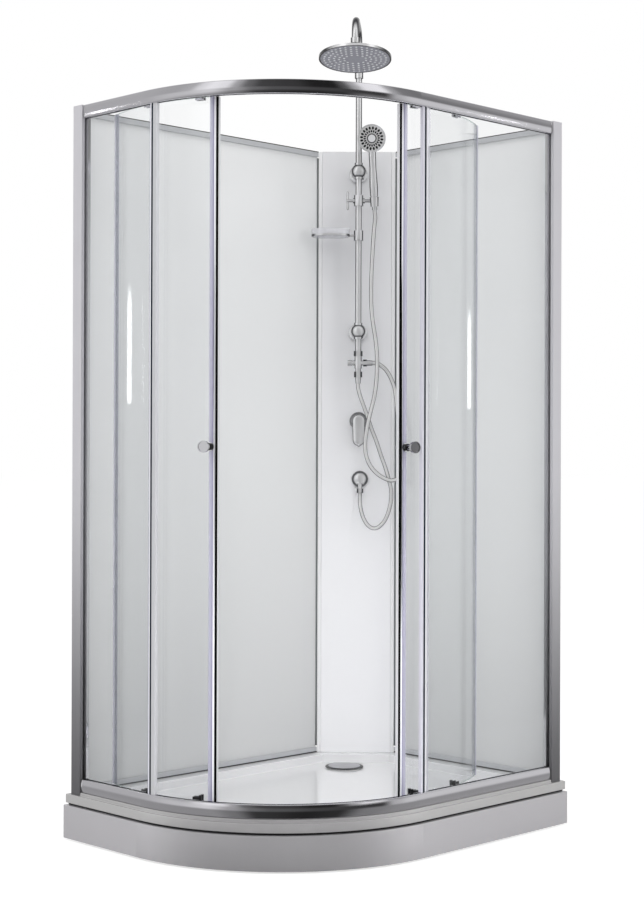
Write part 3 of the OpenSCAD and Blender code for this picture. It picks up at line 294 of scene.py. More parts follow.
def drawnMetal(name):
    # Metal with fine lines along its length: noise that is squeezed across the lines and long along them.
    tone = metalTones[name]
    finish = Finish(name)
    lines = finish.noise(1.0, 3.0, 0.6, finish.stretched(tone["grain"]))
    blotch = finish.noise(7.0, 3.0)
    dark = tuple(0.86 * part for part in tone["colour"])
    colour = finish.mix(lines * 0.5 + blotch * 0.5, dark, tone["colour"])
    if "low" in tone:  # painted reflection: the satin uprights are painted darker in their lower half, standing in for the dim floor they mirror
        height = finish.axes()[2]
        shade = finish.mix(finish.step(height, 0.05, 1.15), (tone["low"],) * 3, (1.0, 1.0, 1.0))
        colour = finish.mix(1.0, colour, shade, "MULTIPLY")
    rough = tone["rough"] + (lines - 0.5) * 0.14 + (blotch - 0.5) * 0.06
    return finish.done(finish.surface(colour, rough, metal=tone.get("metal", 1.0),
                                      bump=finish.bump(lines, 0.5, tone["depth"])))


# Upper and lower are the heights between which the dark painted shade sets in, at the top of the upper bars and
# at the foot of the lower ones. Joint is the colour of that painted shade.
barTone = {"pale": (0.62, 0.63, 0.65), "deep": (0.54, 0.55, 0.57), "joint": (0.035, 0.034, 0.030),
           "upper": (2.0765, 2.0775), "lower": (0.1335, 0.1345)}


def wallBar():
    # Satin bars above and below the walls, with painted shade: a dark band along their outer edges.
    finish = Finish("wallBar")
    z = finish.axes()[2]
    lines = finish.noise(1.0, 3.0, 0.6, finish.stretched((6, 6, 1200)))
    # painted shade: the dark band along the bars' outer edges
    joint = finish.step(z, *barTone["upper"]) + 1 - finish.step(z, *barTone["lower"])
    colour = finish.mix(joint, finish.mix(lines, barTone["deep"], barTone["pale"]), barTone["joint"])
    bump = finish.bump(lines, 0.4, 0.00006)
    return finish.done(finish.surface(colour, 0.30 + lines * 0.1, metal=0.25, bump=bump))


# The drain cover's middle, in metres, and the radii between which its painted shadow ring sets in
drainTone = {"middle": (0.36608, 0.26341), "edge": (0.0500, 0.0510), "pale": (0.50, 0.50, 0.52),
             "deep": (0.42, 0.42, 0.44), "paintedShadowRing": (0.012, 0.012, 0.012)}


def drainDisc():
    # Turned steel cover: fine rings round its middle and a near black ring of painted shadow round its edge.
    finish = Finish("drainDisc")
    x, y, _ = finish.axes()
    dx, dy = x - drainTone["middle"][0], y - drainTone["middle"][1]
    reach = maths(finish.tree, "SQRT", dx * dx + dy * dy)
    rings = finish.node("ShaderNodeTexNoise", {"noise_dimensions": "1D"},
                        {"W": reach * 900, "Scale": 1.0, "Detail": 2.0})
    turned = finish.mix(rings, drainTone["deep"], drainTone["pale"])
    # painted shadow: near black round the cover's edge
    colour = finish.mix(finish.step(reach, *drainTone["edge"]), turned, drainTone["paintedShadowRing"])
    bump = finish.bump(rings, 0.3, 0.0001)
    return finish.done(finish.surface(colour, 0.30 + rings * 0.12, metal=0.6, bump=bump))


# Edge is the painted reflection: the dark colour painted where the chrome turns away or faces down.
chromeTones = {
    "chrome": {"colour": (0.96, 0.96, 0.97), "dull": (0.90, 0.90, 0.91), "edge": (0.03, 0.03, 0.035),
               "rough": 0.05, "metal": 0.5},
    "doorChrome": {"colour": (0.80, 0.80, 0.83), "dull": (0.72, 0.72, 0.75), "edge": (0.50, 0.50, 0.52),
                   "rough": 0.05, "metal": 1.0},
}


def turnedAway(finish):  # 0 where a surface is seen squarely, 1 where it is seen along
    return finish.node("ShaderNodeLayerWeight", {}, {"Blend": 0.5}, out="Facing")


def polishedChrome(name):
    # Plated chrome: faint smears in its gloss, a slight waviness, and a painted reflection: dark painted where
    # it turns away or faces down.
    tone = chromeTones[name]
    finish = Finish(name)
    smear = finish.noise(24.0, 4.0, 0.62)
    wave = finish.noise(30.0, 1.0)
    colour = finish.mix(smear, tone["dull"], tone["colour"])
    rough = tone["rough"] + finish.step(smear, 0.45, 0.75) * 0.06
    normal = finish.node("ShaderNodeNewGeometry", out="Normal")
    upwards = finish.node("ShaderNodeSeparateXYZ", {}, {0: normal}).out("Z")
    outline, paintedUnderside = finish.step(turnedAway(finish), 0.13, 0.50), 1 - finish.step(upwards, -0.80, -0.45)
    # painted reflection: the outline and the underside are painted in the edge colour
    colour = finish.mix(maths(finish.tree, "MAXIMUM", outline, paintedUnderside), colour, tone["edge"])
    bump = finish.bump(wave, 0.05, 0.0005)
    return finish.done(finish.surface(colour, rough, metal=tone["metal"], bump=bump))


glassTone = {"clear": (0.988, 0.991, 0.993), "edge": (0.50, 0.66, 0.60), "shine": (0.97, 0.98, 0.98),
             "dull": (0.90, 0.92, 0.92), "mirror": 0.04}


def clearGlass(name, edgeMask):
    # Clear pane: light passes straight through, and its cut edges are a deeper green that lets half of it by.
    # Its mirror share is 0.04 + 0.96 * (1 - cosine of the viewing angle) to the fifth.
    finish = Finish(name)
    edge = edgeMask(finish)
    haze = finish.noise(3.0, 4.0, 0.6)
    through = finish.node("ShaderNodeBsdfTransparent", {}, {"Color": glassTone["clear"]})
    smear = finish.noise(16.0, 5.0, 0.65)
    shine = finish.mix(edge, finish.mix(haze, glassTone["dull"], glassTone["shine"]), glassTone["edge"])
    gloss = finish.surface(shine, 0.003 + smear * 0.006, metal=1.0)
    mirror = glassTone["mirror"] + (1 - glassTone["mirror"]) * turnedAway(finish) ** 5
    return finish.done(finish.node("ShaderNodeMixShader", {}, {0: mirror + edge * 0.5, 1: through, 2: gloss}))


# Each door's own centre, the direction of its leading edge in degrees, and whether it is the mirrored one
doorCentres = {"right": (0.0534, 0.1011, -105.93, 1), "left": (-0.0511, 0.1498, -29.43, -1)}
doorArc = {"radius": 0.493, "inner": 0.4904, "outer": 0.4956, "soft": 0.00015}


def doorPlan(finish, side):
    # Distance along a door from its leading edge, and distance from the door's own centre, in metres.
    x, y, _ = finish.axes()
    centreX, centreY, edge, hand = doorCentres[side]
    dx, dy = (x - centreX) * hand, y - centreY
    angle = maths(finish.tree, "ARCTAN2", dy, dx)
    reach = maths(finish.tree, "SQRT", dx * dx + dy * dy)
    return (angle - math.radians(edge)) * doorArc["radius"], reach


def doorGlassEdge(side):
    def mask(finish):
        return finish.between(doorPlan(finish, side)[1], doorArc["inner"], doorArc["outer"], doorArc["soft"])
    return mask


def flatGlassEdge(axis, middle):
    def mask(finish):
        half = 0.0026
        return finish.between(finish.axes()[axis], middle - half, middle + half, doorArc["soft"])
    return mask


sealBands = [  # distance from the leading edge in mm, colour, how solid it is
    (0.0, (0.86, 0.86, 0.89), 0.85), (1.2, (0.002, 0.002, 0.002), 1.0), (8.4, (0.90, 0.90, 0.94), 1.0),
    (13.6, (0.30, 0.29, 0.42), 0.95), (16.2, (0.66, 0.65, 0.78), 0.45),
]
bandReach = 30  # mm that the bands are measured over


def bandRamps(finish, scaled, bands):
    # The bands' colours and how solid they are, by the distance from the free edge as a share of bandReach.
    colour = finish.ramp(scaled, [(at / bandReach, tone) for at, tone, solid in bands], "CONSTANT")
    solid = finish.ramp(scaled, [(at / bandReach, solid) for at, tone, solid in bands], "CONSTANT")
    return colour, solid


def doorSeal(side):
    # A clear plastic profile with the strips that lie in it, coloured by how far they are from its free edge.
    finish = Finish(side + "DoorSeal")
    colour, solid = bandRamps(finish, doorPlan(finish, side)[0] * 1000 * (1 / bandReach), sealBands)
    ripple = finish.noise(1.0, 2.0, 0.5, finish.stretched((300, 300, 6)))
    shell = finish.surface(colour, 0.20 + ripple * 0.12, bump=finish.bump(ripple, 0.2, 0.0003),
                           Specular_IOR_Level=0.12)
    through = finish.node("ShaderNodeBsdfTransparent", {}, {"Color": (0.93, 0.93, 0.97)})
    return finish.done(finish.node("ShaderNodeMixShader", {}, {0: solid, 1: through, 2: shell}))


def clearPlastic(name, colour, tint, solid, rough):
    # Flexible or cast clear plastic: part of the light goes straight through, the rest is a glossy shell.
    finish = Finish(name)
    cloud = finish.noise(45.0, 3.0)
    tone = finish.mix(cloud, tuple(0.9 * part for part in colour), colour)
    shell = finish.surface(tone, rough + cloud * 0.1, bump=finish.bump(cloud, 0.15, 0.0004), Coat_Weight=0.7)
    through = finish.node("ShaderNodeBsdfTransparent", {}, {"Color": tint})
    share = solid + (cloud - 0.5) * 0.2
    return finish.done(finish.node("ShaderNodeMixShader", {}, {0: share, 1: through, 2: shell}))


def softRubber(name, colour, rough):
    finish = Finish(name)
    pore = finish.noise(900.0, 2.0)
    dust = finish.noise(60.0, 4.0, 0.6)
    pale = tuple(part + 0.03 for part in colour)
    return finish.done(finish.surface(finish.mix(dust, colour, pale), rough + (dust - 0.5) * 0.15,
                                      bump=finish.bump(pore, 0.3, 0.0003)))


fixedSeals = {  # where the free edge is, and the bands from there as for the doors
    "left": {"edge": 0.060, "bands": [
        (0.0, (0.84, 0.84, 0.87), 0.6), (15.5, (0.008, 0.013, 0.026), 1.0), (22.5, (0.88, 0.88, 0.93), 0.9),
        (26.5, (0.66, 0.65, 0.77), 0.4)]},
    "right": {"edge": -0.0315, "bands": [
        (0.0, (0.80, 0.79, 0.88), 0.8), (8.0, (0.006, 0.012, 0.022), 1.0), (15.0, (0.86, 0.86, 0.90), 0.7),
        (22.0, (0.80, 0.80, 0.86), 0.3)]},
}


def fixedSeal():
    # Both fixed seals are one node: the left is measured along y from its free edge, the right along x.
    finish = Finish("fixedSeal")
    x, y, _ = finish.axes()
    isRight = finish.step(x, -0.30, -0.29)
    left, right = (fixedSeals[side] for side in ("left", "right"))
    scaled = ((y - left["edge"]) * (1 - isRight) + (x - right["edge"]) * isRight) * (1000 / bandReach)
    tones, solids = zip(*(bandRamps(finish, scaled, side["bands"]) for side in (left, right)))
    ripple = finish.noise(1.0, 2.0, 0.5, finish.stretched((300, 300, 6)))
    shell = finish.surface(finish.mix(isRight, *tones), 0.20 + ripple * 0.12,
                           bump=finish.bump(ripple, 0.2, 0.0003), Specular_IOR_Level=0.15)
    through = finish.node("ShaderNodeBsdfTransparent", {}, {"Color": (0.95, 0.95, 0.97)})
    solid = finish.mix(isRight, *solids)
    return finish.done(finish.node("ShaderNodeMixShader", {}, {0: solid, 1: through, 2: shell}))


panel = {"middle": (0.487, 0.332), "half": math.sqrt(0.5)}


def onPanel(points):
    # Millimetres across, out of and up the corner panel, turned into the cabin's own metres.
    s, y, z = np.moveaxis(np.asarray(points, float), -1, 0)
    half = panel["half"] / 1000
    middleX, middleY = panel["middle"]
    return np.stack([middleX + (s + y) * half, middleY + (y - s) * half, z / 1000], axis=-1)


holder = {"place": (54, -80, 1906), "tilt": math.radians(12), "lean": math.radians(3)}


def inHandset(points):
    # The handset's own millimetres (up its handle is z, out of its face is -y), turned and set in its holder.
    points = np.asarray(points, float)
    tilt, lean = holder["tilt"], holder["lean"]
    x, y, z = np.moveaxis(points, -1, 0)
    y, z = y * math.cos(tilt) - z * math.sin(tilt), y * math.sin(tilt) + z * math.cos(tilt)
    x, z = x * math.cos(lean) - z * math.sin(lean), x * math.sin(lean) + z * math.cos(lean)
    return onPanel(np.stack([x, y, z], axis=-1) + holder["place"])


sprayTone = {
    "plate": (0.60, 0.60, 0.60), "dust": (0.52, 0.52, 0.52), "slot": (0.008, 0.008, 0.009),
    "ring": (0.05, 0.05, 0.055), "button": (0.78, 0.78, 0.80), "middle": (0, -8.5, 200), "count": 20,
    "rings": ((22.5, 4.3, 2.7, 0.0), (32.5, 5.2, 3.6, 0.5)),  # radius, half length, half width, shift
}


def sprayPlate():
    # The handset's face: two rings of dark oval slots, a dark ring and a pale button, by distance and angle
    # from its middle. A slot is where (reach - ring)^2 / long^2 + side^2 / wide^2 is below 1.
    finish = Finish("sprayPlate")
    middle, right, up = inHandset(np.add(sprayTone["middle"], [(0, 0, 0), (1, 0, 0), (0, 0, 1)]))
    offset = finish.node("ShaderNodeVectorMath", {"operation": "SUBTRACT"},
                         {0: finish.point(), 1: middle.tolist()})
    across, rise = (
        finish.node("ShaderNodeVectorMath", {"operation": "DOT_PRODUCT"},
                    {0: offset, 1: ((axis - middle) * 1e6).tolist()}, out="Value") for axis in (right, up))
    reach = maths(finish.tree, "SQRT", across * across + rise * rise)
    turns = maths(finish.tree, "ARCTAN2", rise, across) * (sprayTone["count"] / (2 * math.pi))
    slots = 0
    for ring, long, wide, shift in sprayTone["rings"]:
        away = maths(finish.tree, "FRACT", turns + shift + 20.5) - 0.5
        side = away * (2 * math.pi / sprayTone["count"]) * reach
        inside = ((reach - ring) / long) ** 2 + (side / wide) * (side / wide)
        slots = slots + 1 - finish.step(inside, 0.75, 1.15)
    dust = finish.noise(90.0, 3.0)
    colour = finish.mix(slots, finish.mix(dust, sprayTone["dust"], sprayTone["plate"]), sprayTone["slot"])
    colour = finish.mix(finish.between(reach, 12.0, 15.5, 0.4), colour, sprayTone["ring"])
    colour = finish.mix(1 - finish.step(reach, 10.8, 11.6), colour, sprayTone["button"])
    return finish.done(finish.surface(colour, 0.28 + dust * 0.1, Coat_Weight=0.4))


def give(material, *names):  # the material goes into every slot of those solids
    for name in names:
        slots = nodes[name].material_slots
        for slot in slots:
            slot.material = material
        if not slots:
            nodes[name].data.materials.append(material)


finishes = {name: glossPlastic(name) for name in plasticTones}
finishes.update({name: drawnMetal(name) for name in metalTones})
finishes.update({name: polishedChrome(name) for name in chromeTones})
finishes["blackRubber"] = softRubber("blackRubber", (0.015, 0.015, 0.016), 0.62)
finishes["faceGrey"] = softRubber("faceGrey", (0.30, 0.30, 0.35), 0.34)
finishes["nozzle"] = clearPlastic("nozzle", (0.95, 0.96, 0.98), (0.9, 0.9, 0.92), 1.0, 0.10)
finishes["joint"] = softRubber("joint", (0.30, 0.32, 0.32), 0.5)
finishes["sprayPlate"] = sprayPlate()
finishes["wallBar"] = wallBar()
finishes["drainDisc"] = drainDisc()
finishes["trailingSeal"] = clearPlastic("trailingSeal", (0.86, 0.85, 0.95), (0.95, 0.95, 0.99), 0.4, 0.15)
finishes["dishPlastic"] = clearPlastic("dishPlastic", (0.86, 0.86, 0.89), (0.93, 0.93, 0.95), 0.62, 0.12)

give(finishes["tray"], "tray")
give(finishes["apron"], "apron_panel")
give(finishes["galvanised"], "support_frame")
give(finishes["zinc"], "levelling_feet")
give(finishes["trap"], "drain_trap")
give(finishes["satinUpright"], "left_wall_profile", "right_wall_profile")
give(finishes["wallBar"], "wall_bars")
give(finishes["rail"], "top_rail", "bottom_rail")
give(finishes["brightTrim"], "frame_trim")
give(finishes["wallSheet"], "long_wall_sheet", "short_wall_sheet")
give(finishes["cornerPanel"], "corner_panel")
give(finishes["cornerStrip"], "corner_strips")
give(finishes["drainDisc"], "drain_cover")
give(finishes["screwSteel"], "bracket_screws")
give(finishes["brass"], "mixer_valve")
give(finishes["faceGrey"], "overhead_face")
give(finishes["sprayPlate"], "handset_face")
give(finishes["dishPlastic"], "soap_dish")
give(finishes["chrome"], "riser_pipe", "overhead_arm", "arm_joint", "overhead_shower", "riser_brackets",
     "slider", "slider_knob", "handset_holder", "handset", "soap_dish_ring", "diverter", "diverter_knob",
     "mixer_rosette", "mixer_cartridge", "mixer_lever", "wall_outlet")
give(clearGlass("leftPane", flatGlassEdge(0, -0.568)), "left_fixed_glass")
give(clearGlass("rightPane", flatGlassEdge(1, -0.413)), "right_fixed_glass")
give(fixedSeal(), "fixed_glass_seals")
for side in ("right", "left"):
    give(clearGlass(side + "DoorPane", doorGlassEdge(side)), side + "_door_glass")
    give(doorSeal(side), side + "_magnet_seal")
    give(finishes["trailingSeal"], side + "_trailing_seal")
    give(finishes["doorChrome"], side + "_handle", side + "_roller_housings")
    give(finishes["blackRubber"], side + "_handle_rings")
    give(finishes["blackPlastic"], side + "_guides")
    give(finishes["nylon"], side + "_wheel_front", side + "_wheel_rear")
print("finishes given:", len(bpy.data.materials))

# Computed pieces


def loopFaces(rings, around):
    # Quads between neighbouring rings of points, each ring closed on itself.
    row, column = np.meshgrid(np.arange(rings - 1), np.arange(around), indexing="ij")
    following = (column + 1) % around
    corners = (row * around + column, row * around + following, (row + 1) * around + following,
               (row + 1) * around + column)
    return np.stack([corner.ravel() for corner in corners], axis=1)


def capFaces(rings, around):
    # One face over the first ring and one over the last, for rings whose sides loopFaces made.
    return [list(range(around - 1, -1, -1)), list(range((rings - 1) * around, rings * around))]


def buildPiece(name, points, faces, material, body=None, smooth=True):
    mesh = bpy.data.meshes.new(name)
    mesh.from_pydata(points.reshape(-1, 3).tolist(), [], faces)
    mesh.polygons.foreach_set("use_smooth", np.full(len(mesh.polygons), smooth))
    mesh.materials.append(material)
    mesh.update()
    piece = bpy.data.objects.new(name, mesh)
    scene.collection.objects.link(piece)
    if body:
        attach(piece, body)
    return piece


def smoothRoute(route, steps):
    # Catmull-Rom curve: each stretch is the cubic through two points whose slopes come from their neighbours.
    route = np.asarray(route, float)
    last = len(route) - 1
    a, b, c, d = (route[np.clip(np.arange(last) + shift, 0, last)][:, None] for shift in (-1, 0, 1, 2))
    t = (np.arange(steps) / steps)[None, :, None]
    curve = b + t * ((c - a) + t * (2 * a - 5 * b + 4 * c - d + t * (3 * b - a - 3 * c + d))) / 2
    return np.vstack([curve.reshape(-1, 3), route[-1:]])


def evenly(curve, spacing):
    # The same line with its points a fixed distance apart, by straight interpolation along its length.
    far = np.concatenate([[0], np.cumsum(np.linalg.norm(np.diff(curve, axis=0), axis=1))])
    stations = np.linspace(0, far[-1], max(2, int(round(far[-1] / spacing)) + 1))
    return np.stack([np.interp(stations, far, curve[:, axis]) for axis in range(3)], axis=1), stations


# Groove and edge are painted shade: darker in the hose's grooves and near black at its outline.
hoseMetalTone = {"colour": (0.97, 0.97, 0.97), "groove": (0.70, 0.69, 0.69), "edge": (0.06, 0.06, 0.06),
                 "rough": 0.16}
hoseForm = {"pitch": 3.4, "groove": 0.075, "around": 16, "pathStep": 6}  # mm, share of the radius, points, mm


def hoseMetal():
    # Wound metal strip with painted shade: darker in the grooves than on the ribs, by the mesh's own rib
    # height, and dark at its outline.
    finish = Finish("hoseMetal")
    height = finish.node("ShaderNodeAttribute", {"attribute_name": "ribHeight"}, out="Fac")
    smear = finish.noise(70.0, 3.0)
    # painted shade: the grooves darker than the ribs
    colour = finish.mix(finish.step(height, 0.15, 0.6), hoseMetalTone["groove"], hoseMetalTone["colour"])
    # painted shade: near black where the hose turns away
    colour = finish.mix(finish.step(turnedAway(finish), 0.12, 0.50), colour, hoseMetalTone["edge"])
    return finish.done(finish.surface(colour, hoseMetalTone["rough"] + (smear - 0.5) * 0.12, metal=0.35))


# The hoses' routes in the panel's millimetres, as the solids have them. Drops are the distances below the
# holder of a hose's last points, on the handset's axis. A hose that follows a body lists its still point and
# its carried point, which nothing here reads, and is not attached to a body.
hoses = {
    "handsetHose": {
        "node": "handset_hose", "radius": 6.75, "steps": 16,
        "start": [(50.3, -70, 1390)],
        "route": [
            (57.3, -70, 1390), (71, -70, 1386), (92, -70, 1369), (108, -68, 1344), (121, -67, 1310),
            (127, -66, 1270), (131, -66, 1224), (139, -66, 1172), (147, -66, 1124), (150, -68, 1080),
            (146, -72, 1044), (132, -78, 1022), (112, -84, 1014), (90, -88, 1020), (65, -92, 1036),
            (42, -96, 1063), (29, -98, 1098), (27, -100, 1140), (34, -102, 1190), (44, -102, 1235),
            (55, -102, 1280), (62, -102, 1334), (64, -102, 1398), (59, -100, 1462), (50, -96, 1520),
            (45, -92, 1578), (45, -86, 1655), (49, -77, 1745), (53, -70, 1810)],
        "drops": (56, 33, 26.3),
        "follows": "slider", "still": (50, -80, 1420), "carried": (50, -80, 1800),
    },
    "supplyHose": {
        "node": "supply_hose", "radius": 6.5, "steps": 16,
        "start": [(12, -20, 971.7)],
        "route": [
            (12, -20, 964.7), (12, -22, 952), (14, -28, 925), (21, -38, 897), (34, -45, 873), (51, -50, 860),
            (71, -52, 863), (91, -54, 884), (104, -56, 915), (111, -58, 950), (111, -60, 983),
            (104, -62, 1015), (93, -64, 1053), (78, -66, 1095), (64, -68, 1137), (48, -70, 1178),
            (35, -72, 1217), (23, -72, 1250), (12, -71, 1280), (5, -70, 1306), (4, -70, 1316.7)],
        "end": [(4, -70, 1323.7)],
    },
}


def belowHolder(drop):
    # A point on the handset's own axis, that far below its holder, in the panel's millimetres.
    tilt, lean, (s, y, z) = holder["tilt"], holder["lean"], holder["place"]
    return (s + math.cos(tilt) * math.sin(lean) * drop, y + math.sin(tilt) * drop,
            z - math.cos(tilt) * math.cos(lean) * drop)


def makeHose(name, settings, material):
    # A tube with a rounded groove once every pitch: r = R * (1 - groove * (1 - cos(2 pi s / pitch)) / 2).
    pitch, around = hoseForm["pitch"], hoseForm["around"]
    route, end = list(settings["route"]), settings.get("end")
    if "drops" in settings:
        route += [belowHolder(drop) for drop in settings["drops"][:-1]]
        end = [belowHolder(settings["drops"][-1])]
    curve = np.vstack([settings["start"], smoothRoute(route, settings["steps"]), end])
    line, far = evenly(curve, pitch / 4)
    ahead = np.gradient(line, axis=0)
    ahead /= np.linalg.norm(ahead, axis=1)[:, None]
    across = np.cross([0, 1, 0], ahead)
    across /= np.linalg.norm(across, axis=1)[:, None]
    outward = np.cross(ahead, across)
    turn = np.linspace(0, 2 * math.pi, around, endpoint=False)
    rib = (1 + np.cos(2 * math.pi * far / pitch)) / 2
    radius = settings["radius"] * (1 - hoseForm["groove"] * (1 - rib))
    rings = line[:, None] + radius[:, None, None] * (np.cos(turn)[None, :, None] * across[:, None]
                                                     + np.sin(turn)[None, :, None] * outward[:, None])
    count = len(line)
    faces = loopFaces(count, around)[:, ::-1].tolist() + [face[::-1] for face in capFaces(count, around)]
    if "follows" in settings:
        piece = buildPiece(name, onPanel(rings), faces, material)
        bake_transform(piece)
    else:
        piece = buildPiece(name, onPanel(rings), faces, material, "cabin")
    height = piece.data.attributes.new("ribHeight", "FLOAT", "POINT")
    height.data.foreach_set("value", np.repeat(rib, around).astype(np.float32))
    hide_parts(settings["node"])


finishes["hoseMetal"] = hoseMetal()
for hoseName, hoseSettings in hoses.items():
    makeHose(hoseName, hoseSettings, finishes["hoseMetal"])

# The rain shower's rings of nozzles, in mm: their radii, each nozzle's form, the face's height from the ball,
# how far the arm reaches, and the riser's place on the panel at the ball's height
rain = {
    "rings": 5, "inner": 34.0, "outer": 95.5, "radius": 3.8, "height": 2.4, "sunk": 0.3, "face": -42,
    "tilt": math.radians(-9), "turn": math.radians(-4), "arm": 230, "riser": (4, -70, 2351),
    "steps": 5, "around": 10,
}


def underRain(points):
    # The rain shower's own millimetres, from its ball, tilted, put at the arm's end and onto the panel.
    x, y, z = np.moveaxis(np.asarray(points, float), -1, 0)
    tilt, turn = rain["tilt"], rain["turn"]
    y, z = y * math.cos(tilt) - z * math.sin(tilt) - rain["arm"], y * math.sin(tilt) + z * math.cos(tilt)
    x, y = x * math.cos(turn) - y * math.sin(turn), x * math.sin(turn) + y * math.cos(turn)
    return onPanel(np.stack([x, y, z], axis=-1) + rain["riser"])


def makeNozzles():
    # Small domes in rings under the rain shower: reach = R cos(rise), depth = H sin(rise).
    steps, around = rain["steps"], rain["around"]
    places = []
    for ring in range(1, rain["rings"] + 1):
        count = 6 + 6 * ring
        reach = rain["inner"] + (rain["outer"] - rain["inner"]) * (ring - 1) / (rain["rings"] - 1)
        angle = 2 * math.pi / count * (np.arange(count) + ring / 2)
        places.append(np.stack([reach * np.cos(angle), reach * np.sin(angle)], axis=1))
    places = np.vstack(places)
    rise = np.linspace(0, math.radians(80), steps)
    turn = np.linspace(0, 2 * math.pi, around, endpoint=False)
    reach = rain["radius"] * np.cos(rise)[:, None]
    low = rain["face"] - (rain["height"] * np.sin(rise)[:, None] - rain["sunk"])
    dome = np.stack(np.broadcast_arrays(reach * np.cos(turn), reach * np.sin(turn), low), axis=-1)
    points = np.repeat(dome[None], len(places), axis=0)
    points[..., :2] += places[:, None, None]
    shift = np.arange(len(places))[:, None, None] * steps * around
    faces = (loopFaces(steps, around)[None] + shift).reshape(-1, 4)[:, ::-1].tolist()
    for cap in reversed(capFaces(steps, around)):
        faces += (np.array(cap[::-1])[None] + shift[:, :, 0]).tolist()
    buildPiece("rainNozzles", underRain(points), faces, finishes["nozzle"], "overhead_shower")


# The mixer's lever in mm from its middle: the radii of its round ends and how far apart they are, how far out
# its back is and how thick it is, the tongue that joins it to the cartridge, and the ball at its tip
lever = {
    "pivot": (7, 1205), "wide": 21.0, "narrow": 19.0, "long": 62.0, "low": 30.0, "rise": 14.0, "edge": 3.0,
    "around": 96, "steps": 22, "tongue": {"half": 4, "low": 5, "high": 17, "back": 16, "front": 31},
    "tip": {"radius": 5.0, "inset": 4, "out": 37, "around": 24, "steps": 13},
}


def onMixer(points):
    # Across the panel, up it and out of it, from the mixer's middle.
    x, y, z = np.moveaxis(np.asarray(points, float), -1, 0)
    return onPanel(np.stack([x + lever["pivot"][0], -z, y + lever["pivot"][1]], axis=-1))


def makeLever():
    # The lever is a domed cover, a tongue behind it and a small ball at its tip.
    makeDome()
    makeTongue()
    makeTip()


def leverPiece(name, rings, faces, smooth=True):
    return buildPiece(name, onMixer(rings), faces, finishes["chrome"], "mixer_lever", smooth)


def makeDome():
    # A pillow over a tapered outline: inset = cos(rise)^0.7, height = H sin(rise)^0.9, on a short upright edge.
    around, edge = lever["around"], lever["edge"]
    turn = np.linspace(0, 2 * math.pi, around, endpoint=False)
    upper = np.sin(turn) >= 0
    radius, centre = np.where(upper, lever["wide"], lever["narrow"]), np.where(upper, 0, -lever["long"])
    rise = np.linspace(0, math.radians(86), lever["steps"])
    inset = np.concatenate([[0.90, 0.97], np.cos(rise) ** 0.7])[:, None]
    height = np.concatenate([[0.0, 0.8], edge + (lever["rise"] - edge) * np.sin(rise) ** 0.9])[:, None]
    x, y = inset * radius * np.cos(turn), centre + inset * radius * np.sin(turn)
    rings = np.stack(np.broadcast_arrays(x, y, lever["low"] + height), axis=-1)
    faces = loopFaces(len(rings), around).tolist() + capFaces(len(rings), around)
    dome = leverPiece("leverDome", rings, faces)
    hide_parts("mixer_lever")


def makeTongue():
    tongue = lever["tongue"]
    half, low, high = tongue["half"], tongue["low"], tongue["high"]
    loop = ((-half, low), (half, low), (half, high), (-half, high))
    corners = np.array([(x, y, z) for z in (tongue["back"], tongue["front"]) for x, y in loop], float)
    leverPiece("leverTongue", corners, loopFaces(2, 4).tolist() + capFaces(2, 4), smooth=False)


def makeTip():
    # A ball: across = R cos(up), height = R sin(up), open by a hair at its poles, where a face closes it.
    tip = lever["tip"]
    up = np.linspace(-1.5, 1.5, tip["steps"])[:, None]
    turn = np.linspace(0, 2 * math.pi, tip["around"], endpoint=False)
    x, y = np.cos(up) * np.cos(turn), np.cos(up) * np.sin(turn)
    ball = np.stack(np.broadcast_arrays(x, y, np.sin(up)), axis=-1)
    ball = ball * tip["radius"] + (0, tip["inset"] - lever["long"] - lever["wide"], tip["out"])
    faces = loopFaces(tip["steps"], tip["around"]).tolist() + capFaces(tip["steps"], tip["around"])
    leverPiece("leverTip", ball, faces)


# The corner joints: the left one's corner in metres, and its section and its hollow front's depth in mm
bead = {
    "corner": (0.399, 0.420), "turn": 0.155, "near": 8.3, "far": 11.7, "wide": (-1.5, 8.0), "lap": 3.4,
    "low": 0.150, "high": 2.060, "dish": 0.8, "across": 9, "steps": 12,
}


def makeJoints():
    # The dark joint between each wall's sheet and the corner panel: a narrow slab with a hollow front,
    # depth = near edge + dish * sin(pi * across).
    across = np.linspace(0, 1, bead["across"])
    start, end = bead["wide"]
    hollow = bead["near"] + bead["dish"] * np.sin(math.pi * across)
    front = np.stack([start + across * (end - start), hollow], axis=1)
    back = np.array([(end + bead["lap"], bead["far"]), (start, bead["far"])])
    outline = np.vstack([front, back]) / 1000 + bead["corner"]
    mirrored = np.stack([outline[:, 1] + bead["turn"], outline[:, 0] - bead["turn"]], axis=1)[::-1]
    heights = np.linspace(bead["low"], bead["high"], bead["steps"])
    for name, line in (("leftJoint", outline), ("rightJoint", mirrored)):
        rings = np.stack(np.broadcast_arrays(line[:, 0], line[:, 1], heights[:, None]), axis=-1)
        faces = loopFaces(len(rings), len(line)).tolist() + capFaces(len(rings), len(line))
        buildPiece(name, rings, faces, finishes["joint"], "cabin")


makeNozzles()
makeLever()
makeJoints()

# Rounded edges on the moulded and pressed pieces: the rounding's width in metres and its segments
edgeRounding = {
    "tray": (0.0022, 3), "apron_panel": (0.0015, 2), "long_wall_sheet": (0.0008, 1),
    "left_wall_profile": (0.0007, 2), "right_wall_profile": (0.0007, 2), "frame_trim": (0.0005, 1),
    "wall_bars": (0.0008, 2), "corner_panel": (0.0012, 2), "corner_strips": (0.0025, 3),
    "left_magnet_seal": (0.001, 2), "right_magnet_seal": (0.001, 2), "fixed_glass_seals": (0.001, 2),
}
roundedAngle = math.radians(40)  # edges that turn less than this stay as they are


